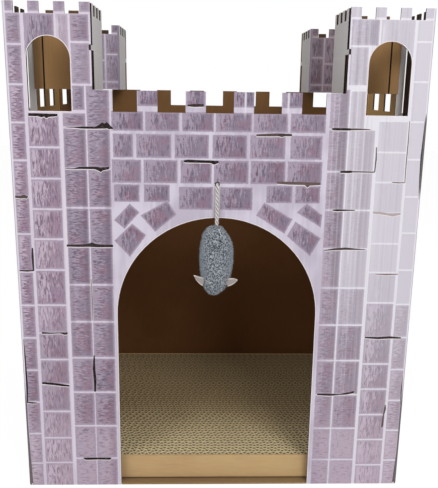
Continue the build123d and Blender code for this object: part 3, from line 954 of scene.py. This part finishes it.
def printPanel(place, side):
    # ink for the two printed faces of one tower panel, stones and the bare line along their lower edge
    name = f"tower_panel_{place}_{'left' if side < 0 else 'right'}"
    foot, lip, wallTop = (castleSize[k] for k in ("panelFoot", "panelLip", "wallTop"))
    pale = 0.8
    innerStones = coursedStones(-148, 148, foot, wallTop, 40 + side, pale)
    innerStones += coursedStones(-150, 150, *castleSize["merlon"], 44, pale)
    # the rear panels' backs show over the walls, the front ones' don't
    isRear = place == "rear"
    backStones = panelStones(side) if isRear else coursedStones(-200, 200, foot, wallTop, 50 + side)
    innerX, outerX = side * castleSize["towerInner"], side * castleSize["side"]
    backY = castleSize["towerBack"] if isRear else -castleSize["towerBack"]
    stones, lips = [], []
    for axis, plane, outward, shapes, ends in ((0, innerX, -side, innerStones, (-150, 150)),
                                               (1, backY, -1 if isRear else 1, backStones, (innerX, outerX))):
        faces = flatFaces([name], axis, plane)
        stones.append((faces, axis, plane, outward, shapes))
        line = stroke([(end, lip, 1) for end in ends], 1.0, width=crackLook["hemLine"])
        lips.append((faces, axis, plane, outward, line))
    return stones, lips


def printStones():
    foot, wallTop, merlon = (castleSize[k] for k in ("foot", "wallTop", "merlon"))
    frontY, sideX = castleSize["front"], castleSize["side"]
    front = flatFaces(["front_sheet"], 1, -frontY)
    rear = flatFaces(["rear_sheet"], 1, frontY)
    rearStones = coursedStones(-198, 198, foot, wallTop, 11) + coursedStones(-200, 200, *merlon, 12)
    stones = [(front, 1, -frontY, -1, frontStones()), (rear, 1, frontY, 1, rearStones)]
    panelLips = []
    for side in (-1, 1):
        walls = flatFaces(castleNodes, 0, side * sideX)
        shapes = coursedStones(-148, 148, foot, wallTop, 20 + side) + coursedStones(-150, 150, *merlon, 30 + side)
        stones.append((walls, 0, side * sideX, side, shapes))
        for place in ("front", "rear"):
            panelInk, lips = printPanel(place, side)
            stones += panelInk
            panelLips += lips
    inkLayer("printed_stones", stones, printedLiner, printLook["softEdge"], 1)
    archShapes = [(outline, 0.04, 0.8) for outline in archStones]
    inkLayer("printed_arch_stones", [(front, 1, -frontY, -1, archShapes)], printedLiner, printLook["softEdge"], 2)
    lips, cracks = [], []
    for tone, points in cracksFront:
        lips += stroke(points, 1.0, 1.0, crackLook["lip"])
        cracks += stroke(points, tone)
    middle, *window = openings["window"]
    low, high, sill = openings["sill"]
    outlines = [archLine(*openings["door"])] + [archLine(side * middle, *window) for side in (-1, 1)]
    outlines += [[(side * low, sill, 1), (side * high, sill, 1)] for side in (-1, 1)]
    for line in outlines:
        lips += stroke(line, 1.0, width=crackLook["cutLine"])
    # painted shade inside the top of the cord's hole
    radius, width = openings["holeShade"]
    cracks += stroke(holeArc(radius, 15, 165), 0.0, width=width)
    crackedInk = crackInk()
    inkLayer("printed_lips", [(front, 1, -frontY, -1, lips)] + panelLips, crackedInk, 0.0, 3)
    inkLayer("printed_cracks", [(front, 1, -frontY, -1, cracks)], crackedInk, 0.0, 4)


printStones()
print("stones printed")

# Base board and tray keep their CAD shapes

trayLook = {
    "front": "c8a776",
    "kraftDark": "a9855a",
    "edge": "d6ba8a",
    "hollow": "24170a",
    "crease": "4a3219",
    "creaseAt": (1.6, 1.9, 2.6, 4.6),  # mm, heights between which the painted shadow at the front wall's crease sets in and ends
    "hollowAt": (0.15, 1.65),          # mm, heights between the base board's two liners
    "hollowEnd": 196,                  # mm, half the length of its open edge
}


def trayMaterial():
    # plain kraft board, matt, lighter than the castle's inside, with short fibres and a painted shadow along the
    # crease at its foot
    material, add, setShader, coords = newMaterial("light kraft board")
    fibres = mottled(add, coords, 1.6, 4, (0.12, 1, 1))
    color = add("mix", mottled(add, coords, 60, 2), trayLook["kraftDark"], trayLook["front"])
    color = add("mix", add("multiply", fibres, 0.5), color, trayLook["edge"])
    height = add("split", coords).outputs[2]
    # painted shadow at the front wall's crease
    start, full, last, end = (p * mm for p in trayLook["creaseAt"])
    creased = add("multiply", add("step", height, end, last), add("step", height, start, full), 0.8)
    color = add("mix", creased, color, trayLook["crease"])
    bump = add("ShaderNodeBump", {"Strength": 0.3, "Distance": 0.05 * mm, "Height": fibres})
    setShader({"Base Color": color, "Normal": bump, "Roughness": 0.82, "IOR": boardIor})
    return material


lightKraft = trayMaterial()
# inside of the open flutes: unlit brown, fully matt
openFlutes = plainMaterial("open flutes", trayLook["hollow"], 0.95)
for name in ("base_board", "tray"):
    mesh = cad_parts[name].data
    mesh.materials.clear()
    mesh.materials.append(lightKraft)
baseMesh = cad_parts["base_board"].data
baseMesh.materials.append(openFlutes)
lowest, highest = (p * mm for p in trayLook["hollowAt"])
for face in baseMesh.polygons:
    inside = lowest < face.center.z < highest and abs(face.center.x) < trayLook["hollowEnd"] * mm
    if inside and abs(face.normal.y) < 0.5:
        face.material_index = 1

# Scratch pad: strips of A flute board on edge, made by Geometry Nodes

padLook = {
    "pitch": 8.0,          # mm, one wave
    "stepsPerWave": 8,
    "paper": 0.7,
    "height": 26.0,
    "bottom": 3.6,
    "halfLength": 189.4,
    "front": -138.9,
    "rear": 137.4,
    "strips": 51,
    "paperLight": "ead6a9",
    "paperMiddle": "8b7450",
    "hollowNear": "1a1208",
    "hollowFar": "4d3c27",
    "rimAt": (27.9, 29.6),  # mm, heights between which the hollows turn to rims
    "frontLitAt": (30, -110),  # mm, y from which the painted light near the doorway sets in, and where it is full
}


def padMaterial():
    # recycled fluting paper, raw cut edges: matt, pale rims over hollows painted dark as painted shade, and painted
    # light near the doorway: paler rims over darker hollows
    material, add, setShader, coords = newMaterial("fluting paper")
    specks = mottled(add, coords, 1.2, 4)
    _, y, z = add("split", coords).outputs
    # painted shade: below the rims the paper is painted dark; painted light near the doorway raises the contrast
    isRim = add("ShaderNodeMapRange", z, *(p * mm for p in padLook["rimAt"]))
    reach = add("multiply_add", mottled(add, coords, 60, 2), 0.06, y)
    frontLit = add("step", reach, *(p * mm for p in padLook["frontLitAt"]))
    rims = add("mix", frontLit, padLook["paperMiddle"], padLook["paperLight"])
    rims = add("mix", add("multiply", specks, 0.3), rims, padLook["paperLight"])
    hollows = add("mix", frontLit, padLook["hollowFar"], padLook["hollowNear"])
    setShader({"Base Color": add("mix", isRim, hollows, rims), "Roughness": 0.9, "IOR": boardIor})
    return material


def newTree(name, inputs):
    # geometry tree with a mesh input, one input for each named number and a mesh output, what adds a node to
    # it, and what its inputs give
    group = bpy.data.node_groups.new(name, "GeometryNodeTree")
    group.interface.new_socket(name="Geometry", in_out="INPUT", socket_type="NodeSocketGeometry")
    for label, value in inputs.items():
        kind = "NodeSocketInt" if isinstance(value, int) else "NodeSocketFloat"
        group.interface.new_socket(name=label, in_out="INPUT", socket_type=kind)
    group.interface.new_socket(name="Geometry", in_out="OUTPUT", socket_type="NodeSocketGeometry")
    add = partial(addNode, group)
    return group, add, add("NodeGroupInput").outputs


padInputs = {
    "Pitch": padLook["pitch"] * mm,
    "Steps": int(2 * padLook["halfLength"] / padLook["pitch"] * padLook["stepsPerWave"]),
    "Paper": padLook["paper"] * mm,
    "Height": padLook["height"] * mm,
    "Strip Width": (padLook["rear"] - padLook["front"]) / padLook["strips"] * mm,
    "Strips": padLook["strips"],
    "Length": 2 * padLook["halfLength"] * mm,
    "Seed": 3,
}


def finishTree(group, add, instances, material):
    # the export drops instances, so they end as plain faces with their material
    real = add("GeometryNodeRealizeInstances", instances)
    colored = add("GeometryNodeSetMaterial", {"Geometry": real, "Material": material})
    setInputs(group, add("NodeGroupOutput"), {0: colored})
    return group


def padTree(material):
    group, add, given = newTree("flute strips", padInputs)
    # the waves are one pitch shorter than the liners, for each strip slides by up to half a pitch
    waveLength = add("subtract", given["Length"], given["Pitch"])
    offset = add("combine", add("divide", waveLength, given["Steps"]))
    start = add("combine", add("multiply", waveLength, -0.5))
    count = add("add", given["Steps"], 1)
    line = add("GeometryNodeMeshLine", {"Count": count, "Start Location": start, "Offset": offset}, mode="OFFSET")
    # the wave swings between its two liners
    along = add("split", add("GeometryNodeInputPosition")).outputs[0]
    angle = add("divide", add("multiply", along, 2 * math.pi), given["Pitch"])
    swing = add("multiply_add", add("subtract", given["Strip Width"], given["Paper"]), 0.5,
                add("multiply", given["Paper"], -0.5))
    sway = add("combine", None, add("multiply", add("sine", angle), swing))
    waved = add("GeometryNodeSetPosition", {"Geometry": line, "Offset": sway})
    curve = add("GeometryNodeMeshToCurve", {"Mesh": waved})
    upright = add("GeometryNodeSetCurveNormal", {"Curve": curve}, mode="Z_UP")
    profile = add("GeometryNodeCurvePrimitiveQuadrilateral", {"Width": given["Paper"], "Height": given["Height"]})
    ribbon = add("GeometryNodeCurveToMesh", {"Curve": upright, "Profile Curve": profile, "Fill Caps": True})
    # liners: one flat ribbon between each two strips
    linerSize = add("combine", given["Length"], given["Paper"], given["Height"])
    liner = add("GeometryNodeMeshCube", {"Size": linerSize})
    rows = add("combine", None, given["Strip Width"])
    stripPoints = add("GeometryNodeMeshLine", {"Count": given["Strips"], "Offset": rows}, mode="OFFSET")
    linerCount = add("add", given["Strips"], 1)
    linerPoints = add("GeometryNodeMeshLine", {"Count": linerCount, "Offset": rows}, mode="OFFSET")
    jitter = add("FunctionNodeRandomValue", {"Seed": given["Seed"]}, data_type="FLOAT")
    slide = add("combine", add("multiply", add("subtract", jitter, 0.5), given["Pitch"]))
    jittered = add("GeometryNodeSetPosition", {"Geometry": stripPoints, "Offset": slide})
    waves = add("GeometryNodeInstanceOnPoints", {"Points": jittered, "Instance": ribbon})
    halfStrip = add("combine", None, add("multiply", given["Strip Width"], 0.5))
    wavesPlaced = add("GeometryNodeTransform", {"Geometry": waves, "Translation": halfStrip})
    liners = add("GeometryNodeInstanceOnPoints", {"Points": linerPoints, "Instance": liner})
    joined = add("GeometryNodeJoinGeometry")
    for part in (wavesPlaced, liners):
        setInputs(group, joined, {0: part})
    return finishTree(group, add, joined, material)


def bakeTree(name, group, inputs, place, start=None):
    # evaluates a node tree on a carrier mesh and returns a plain mesh object placed in the frame
    holder = bpy.data.objects.new(name + "_maker", start or bpy.data.meshes.new(name + "_start"))
    bpy.context.collection.objects.link(holder)
    modifier = holder.modifiers.new(name, "NODES")
    modifier.node_group = group
    for socket in group.interface.items_tree:
        if socket.name in inputs:
            modifier[socket.identifier] = inputs[socket.name]
    bpy.context.view_layer.update()
    evaluated = holder.evaluated_get(bpy.context.evaluated_depsgraph_get())
    mesh = bpy.data.meshes.new_from_object(evaluated)
    holder.modifiers.clear()
    bpy.data.objects.remove(holder)
    mesh.transform(Matrix.Translation(Vector(place) * mm))
    print(name, "triangles:", sum(len(p.vertices) - 2 for p in mesh.polygons))
    return newPiece(name, mesh)


padMiddle = padLook["bottom"] + padLook["height"] / 2
pad = bakeTree("scratch_pad_flutes", padTree(padMaterial()), padInputs, (0, padLook["front"], padMiddle))
ridePiece(pad, "castle", "scratch_pad")

# Cord of the toy: three twisted cotton strands along one spline

cordLook = {
    # mm, from the hole's mouth down into the mouse
    "route": [(-1.5, -150.9, 328.2), (-1.5, -152.6, 326.6), (-1.5, -152.6, 318), (-1.5, -152.6, 303),
              (-1.5, -152.6, 288.6)],
    "diameter": 4.0,
    "strands": 3,
    "strandShare": 0.455,  # a strand's thickness against the cord's
    "lay": -12.5,       # mm for one full turn, laid to the left
    "sides": 12,
    "color": "e8e3df",
    "shade": "c0b9b4",
    "groove": "544c4a",
}


def cottonMaterial():
    # twisted natural cotton: soft, matt, fine fibres along each strand, with painted shade in the grooves between
    # them
    material, add, setShader, coords = newMaterial("natural cotton cord")
    fibres = mottled(add, coords, 0.5, 4, (1, 1, 0.5))
    outward = add("ShaderNodeAttribute", attribute_name="outward").outputs["Fac"]
    color = add("mix", fibres, cordLook["shade"], cordLook["color"])
    # painted shade: grey in the grooves between the strands
    color = add("mix", add("step", outward, 0.55, 0.92), cordLook["groove"], color)
    bump = add("ShaderNodeBump", {"Strength": 0.6, "Distance": 0.2 * mm, "Height": fibres})
    setShader({"Base Color": color, "Normal": bump, "Roughness": 0.95, "Sheen Weight": 0.2})
    return material


def routePoints(route, samples=24):
    # points of the smooth line that the control points pull
    curve = bpy.data.curves.new("cordRoute", "CURVE")
    curve.dimensions = "3D"
    spline = curve.splines.new("NURBS")
    spline.points.add(len(route) - 1)
    for point, place in zip(spline.points, route):
        point.co = (*(Vector(place) * mm), 1)
    spline.order_u = 3
    spline.use_endpoint_u = True
    spline.resolution_u = samples
    holder = bpy.data.objects.new("cordRoute", curve)
    bpy.context.collection.objects.link(holder)
    bpy.context.view_layer.update()
    mesh = bpy.data.meshes.new_from_object(holder.evaluated_get(bpy.context.evaluated_depsgraph_get()))
    points = [v.co.copy() for v in mesh.vertices]
    bpy.data.objects.remove(holder)
    bpy.data.meshes.remove(mesh)
    return points


def frames(points):
    # tangent and two cross directions that turn as little as they can
    result = []
    side = Vector((1, 0, 0))
    for i, p in enumerate(points):
        tangent = (points[min(i + 1, len(points) - 1)] - points[max(i - 1, 0)]).normalized()
        side = (side - tangent * side.dot(tangent)).normalized()
        result.append((p, tangent, side, tangent.cross(side)))
    return result


def meshPiece(name, bm, material, weld=0.0):
    # the finished shape as a smooth piece, its doubles welded and its faces turned outwards
    if weld:
        bmesh.ops.remove_doubles(bm, verts=bm.verts, dist=weld)
    bmesh.ops.recalc_face_normals(bm, faces=bm.faces)
    for face in bm.faces:
        face.smooth = bool(weld) or len(face.verts) == 4  # the flat ends of a tube stay flat
    mesh = bpy.data.meshes.new(name)
    bm.to_mesh(mesh)
    bm.free()
    return newPiece(name, mesh, material)


def tubes(paths, radius, sides, name, material, middle=None, reach=1.0):
    # round tubes along lists of points, closed at both ends; with a middle line, the attribute outward is
    # each vertex's distance from it as a share of reach
    bm = bmesh.new()
    outward = bm.verts.layers.float.new("outward")
    for path in paths:
        rings = []
        for i, (p, _, a, b) in enumerate(frames(path)):
            ring = []
            for k in range(sides):
                t = 2 * math.pi * k / sides
                vertex = bm.verts.new(p + (a * math.cos(t) + b * math.sin(t)) * radius)
                vertex[outward] = (vertex.co - middle[i]).length / reach if middle else 1.0
                ring.append(vertex)
            rings.append(ring)
        for low, high in zip(rings, rings[1:]):
            for k in range(sides):
                n = (k + 1) % sides
                bm.faces.new((low[k], low[n], high[n], high[k]))
        bm.faces.new(rings[0][::-1])
        bm.faces.new(rings[-1])
    return meshPiece(name, bm, material)


def twistedStrands(points, diameter, lay, strands):
    # helices round the route, each strand touching its neighbours
    strandRadius = diameter / 2 * cordLook["strandShare"]
    spread = diameter / 2 - strandRadius
    walked = 0.0
    paths = [[] for _ in range(strands)]
    last = points[0]
    for p, _, a, b in frames(points):
        walked += (p - last).length
        last = p
        for k, path in enumerate(paths):
            angle = 2 * math.pi * (walked / lay + k / strands)
            path.append(p + (a * math.cos(angle) + b * math.sin(angle)) * spread)
    return paths, strandRadius


cotton = cottonMaterial()
cordPoints = routePoints(cordLook["route"])
strandPaths, strandRadius = twistedStrands(
    cordPoints, cordLook["diameter"] * mm, cordLook["lay"] * mm, cordLook["strands"])
ropeStrands = tubes(strandPaths, strandRadius, cordLook["sides"], "rope_strands", cotton,
                    cordPoints, cordLook["diameter"] / 2 * mm)
ridePiece(ropeStrands, "toy", "rope")

# Knot behind the wall and the cord in its hole

knotLook = {
    "centre": (-1.5, -144.4, 329),  # mm
    "size": 1.25,
    "flatten": 0.8,                 # across the cord's way
    "depth": 1.2,
    "tube": 1.5,
    "steps": 72,
    # y, and height over the centre, of the cord in its hole
    "stub": ((-150.9, -0.8), (-149.5, -0.7), (-148, -0.4), (-146.5, 0), (-144.5, 0)),
}


def makeKnot():
    # trefoil knot, round its middle
    cx, cy, cz = knotLook["centre"]
    size, flat = knotLook["size"], knotLook["size"] * knotLook["flatten"]
    path = []
    for i in range(knotLook["steps"] + 1):
        t = 2 * math.pi * i / knotLook["steps"]
        x = math.sin(t) + 2 * math.sin(2 * t)
        z = math.cos(t) - 2 * math.cos(2 * t)
        y = -math.sin(3 * t) * knotLook["depth"]
        path.append(Vector((cx + x * flat, cy + y * size, cz + z * flat)) * mm)
    stub = [Vector((cx, y, cz + up)) * mm for y, up in knotLook["stub"]]
    piece = tubes([path, stub], knotLook["tube"] * mm, 10, "rope_knot_strands", cotton)
    ridePiece(piece, "castle", "rope_knot")


makeKnot()
print("cord and knot made")

# Plush mouse

mouseLook = {
    "axis": (-1.5, -152.6),
    "top": 289.0,
    "length": 72,
    "flatten": 0.86,
    # under the top, half width and shift to the right, mm
    "rings": [
        (0, 2.6, 0), (1, 5.6, -0.7), (3, 8.6, -1.6), (6, 11.1, -1.6), (9, 13, -1.3), (13, 14.8, -0.6), (18, 16.2, 0),
        (24, 17.1, 0.1), (30, 17.3, 0), (37, 17.2, 0), (44, 16.5, -0.2), (51, 15.5, -0.4), (57, 14.2, -0.6),
        (61.5, 12.7, -0.9), (65.5, 10.4, -1.6), (69, 7.2, -2.3), (71.2, 4.2, -2.8), (72, 2, -3),
    ],
    "pile": 1.1,           # mm that the pile stands on the cloth
    "sides": 40,
    "fur": "b9bfc6",
    "furMiddle": "7e868f",
    "furDark": "1c2026",
    "furRimLight": "93a0aa",
    "felt": "9a928f",
    "feltRim": "e2dad2",
    "thread": "e8ecec",
    # short white stitches, x, y and z in mm
    "stitches": [[(0.4, -158.9, 286.6), (1.3, -161.4, 284.4), (2.2, -163.2, 281.6)],
                 [(-10.8, -163.4, 234.4), (-8.6, -164.7, 234.0), (-5.8, -165.6, 234.1)]],
    "stitchRadius": 0.24,
}
earLook = {
    "forward": 6,         # mm before the mouse's axis
    "thinnest": 0.35,     # half thickness at the cut rim, mm, and what the middle adds
    "thicker": 0.35,
    "curl": -1.2,         # mm that the tip comes forward
    "steps": 10,
    "across": 6,
    # tip, lower edge, inner edge and upper edge: x, and mm under the mouse's top
    "left": [(-22.4, 49), (-18.6, 56.0), (-13.5, 60.5), (-7.5, 58), (-9.5, 52.5), (-15.8, 51.2)],
    "right": [(21.5, 53.8), (17.1, 58.4), (11.8, 61), (6.5, 60), (6.5, 55), (14.5, 52.4)],
}
# tufts to the square metre, and their length
pileInputs = {"Density": 900000.0, "Pile": 1.7 * mm, "Seed": 5}


def plushMaterial():
    # short polyester pile, brushed: blue grey with dark flecks down the middle; the sides painted paler and bluer as
    # painted rim light, with a sheen
    material, add, setShader, coords = newMaterial("short plush pile")
    flecks = mottled(add, coords, 1.5, 3, rough=0.7)
    clouds = mottled(add, coords, 14, 2)
    x = add("split", coords).outputs[0]
    aside = add("absolute", add("subtract", x, mouseLook["axis"][0] * mm))
    # painted rim light: the flanks turn paler and bluer
    flank = add("step", add("multiply_add", clouds, 0.008, aside), 0.0135, 0.019, 0.0, 0.6)
    color = add("mix", add("step", flecks, 0.5, 0.57), mouseLook["furMiddle"], mouseLook["fur"])
    color = add("mix", add("step", flecks, 0.48, 0.43), color, mouseLook["furDark"])
    color = add("mix", add("multiply", clouds, 0.3), color, mouseLook["furMiddle"])
    color = add("mix", flank, color, mouseLook["furRimLight"])
    bump = add("ShaderNodeBump", {"Strength": 0.9, "Distance": 0.8 * mm, "Height": flecks})
    setShader({"Base Color": color, "Normal": bump, "Roughness": 0.95, "Sheen Weight": 0.7, "Sheen Roughness": 0.4})
    return material


def feltMaterial():
    # needled wool felt: matt, cloudy, no weave, with a pale fuzzy cut rim
    material, add, setShader, coords = newMaterial("pale felt")
    wool = mottled(add, coords, 1.0, 4)
    depth = add("ShaderNodeAttribute", attribute_name="inside").outputs["Fac"]
    inside = add("multiply_add", wool, 0.5, add("subtract", depth, 0.25))
    color = add("mix", add("step", inside, 0.05, 0.6), mouseLook["feltRim"], mouseLook["felt"])
    bump = add("ShaderNodeBump", {"Strength": 0.5, "Distance": 0.25 * mm, "Height": wool})
    setShader({"Base Color": color, "Normal": bump, "Roughness": 0.95, "Sheen Weight": 0.3})
    return material


def mouseBody(plush):
    # skin through the widths, drawn in by the pile's height
    cx, cy = mouseLook["axis"]
    pile, sides, length = (mouseLook[k] for k in ("pile", "sides", "length"))
    turns = [2 * math.pi * k / sides for k in range(sides)]
    bm = bmesh.new()
    loops = []
    for drop, half, shift in mouseLook["rings"]:
        r = max(0.8, half - pile)
        z = mouseLook["top"] - max(pile, min(drop, length - pile))
        loops.append([bm.verts.new(Vector((cx + shift + r * math.cos(t),
                                           cy + r * mouseLook["flatten"] * math.sin(t), z)) * mm) for t in turns])
    for upper, lower in zip(loops, loops[1:]):
        for k in range(sides):
            n = (k + 1) % sides
            bm.faces.new((upper[k], lower[k], lower[n], upper[n]))
    bm.faces.new(loops[0])
    bm.faces.new(loops[-1][::-1])
    return meshPiece("mouse_cloth", bm, plush, 0.01 * mm)


def pileTree(material):
    # short leaning tufts spread over the cloth
    group, add, given = newTree("plush pile", pileInputs)
    seed = given["Seed"]
    spread = add("GeometryNodeDistributePointsOnFaces",
                 {"Mesh": given["Geometry"], "Density": given["Density"], "Seed": seed})
    tuft = add("GeometryNodeMeshCone", {"Vertices": 4, "Radius Top": 0.04 * mm, "Radius Bottom": 0.32 * mm,
                                        "Depth": given["Pile"]})
    lean = add("FunctionNodeRandomValue", {0: (-0.7, -0.7, 0), 1: (0.7, 0.7, 6.28), "Seed": seed},
               data_type="FLOAT_VECTOR")
    turned = add("FunctionNodeRotateRotation", {0: spread.outputs["Rotation"], 1: lean}, rotation_space="LOCAL")
    size = add("FunctionNodeRandomValue", {2: 0.55, 3: 1.0, "Seed": seed}, data_type="FLOAT")
    tufts = add("GeometryNodeInstanceOnPoints", {
        "Points": spread, "Instance": tuft, "Rotation": turned, "Scale": size})
    return finishTree(group, add, tufts, material)


def leafEar(side, material):
    # felt leaf, cut from sheet, thickest at its middle and curling forward at the tip
    hx, cy = mouseLook["axis"]
    steps, across = earLook["steps"], earLook["across"]
    outline = [Vector((hx + x, mouseLook["top"] - drop)) for x, drop in earLook[side]]
    tip, lowMiddle, lowEnd, _, innerHigh, highMiddle = outline
    lower, upper = [], []
    for edge, middle, end in ((lower, lowMiddle, lowEnd), (upper, highMiddle, innerHigh)):
        pull = middle * 2 - (tip + end) / 2
        for i in range(steps + 1):
            t = i / steps
            edge.append(tip * (1 - t) ** 2 + pull * 2 * t * (1 - t) + end * t * t)
    bm = bmesh.new()
    inside = bm.verts.layers.float.new("inside")
    front, back = [], []
    for grid, outward in ((front, -1), (back, 1)):
        for i in range(steps + 1):
            row = []
            for j in range(across + 1):
                s = j / across
                flat = lower[i] * (1 - s) + upper[i] * s
                rim = min(i / 3, min(j, across - j) / 2, 1)
                half = earLook["thinnest"] + earLook["thicker"] * rim
                curl = earLook["curl"] * (1 - i / steps) ** 2
                vertex = bm.verts.new(Vector((flat.x, cy - earLook["forward"] + curl + outward * half, flat.y)) * mm)
                vertex[inside] = rim
                row.append(vertex)
            grid.append(row)
    for grid, flip in ((front, False), (back, True)):
        for i in range(steps):
            for j in range(across):
                quad = [grid[i][j], grid[i + 1][j], grid[i + 1][j + 1], grid[i][j + 1]]
                bm.faces.new(quad[::-1] if flip else quad)
    for i in range(steps):
        bm.faces.new((front[i][0], back[i][0], back[i + 1][0], front[i + 1][0]))
        bm.faces.new((front[i][across], front[i + 1][across], back[i + 1][across], back[i][across]))
    for j in range(across):
        bm.faces.new((front[steps][j], back[steps][j], back[steps][j + 1], front[steps][j + 1]))
        bm.faces.new((front[0][j], front[0][j + 1], back[0][j + 1], back[0][j]))
    return meshPiece(f"mouse_felt_ear_{side}", bm, material, 0.02 * mm)


def makeMouse():
    plush = plushMaterial()
    felt = feltMaterial()
    body = mouseBody(plush)
    ridePiece(body, "toy", "mouse_body")
    pile = bakeTree("mouse_pile", pileTree(plush), pileInputs, (0, 0, 0), body.data.copy())
    ridePiece(pile, "toy")
    paths = [[Vector(p) * mm for p in points] for points in mouseLook["stitches"]]
    # spun polyester sewing thread: white, smooth, a little gloss
    thread = plainMaterial("white sewing thread", mouseLook["thread"], 0.6)
    stitches = tubes(paths, mouseLook["stitchRadius"] * mm, 6, "mouse_stitches", thread)
    ridePiece(stitches, "toy")
    pieces = [body, pile, stitches]
    for side in ("left", "right"):
        ear = leafEar(side, felt)
        ridePiece(ear, "toy", f"mouse_ear_{side}")
        pieces.append(ear)
    return pieces


mousePieces = makeMouse()
print("mouse made")
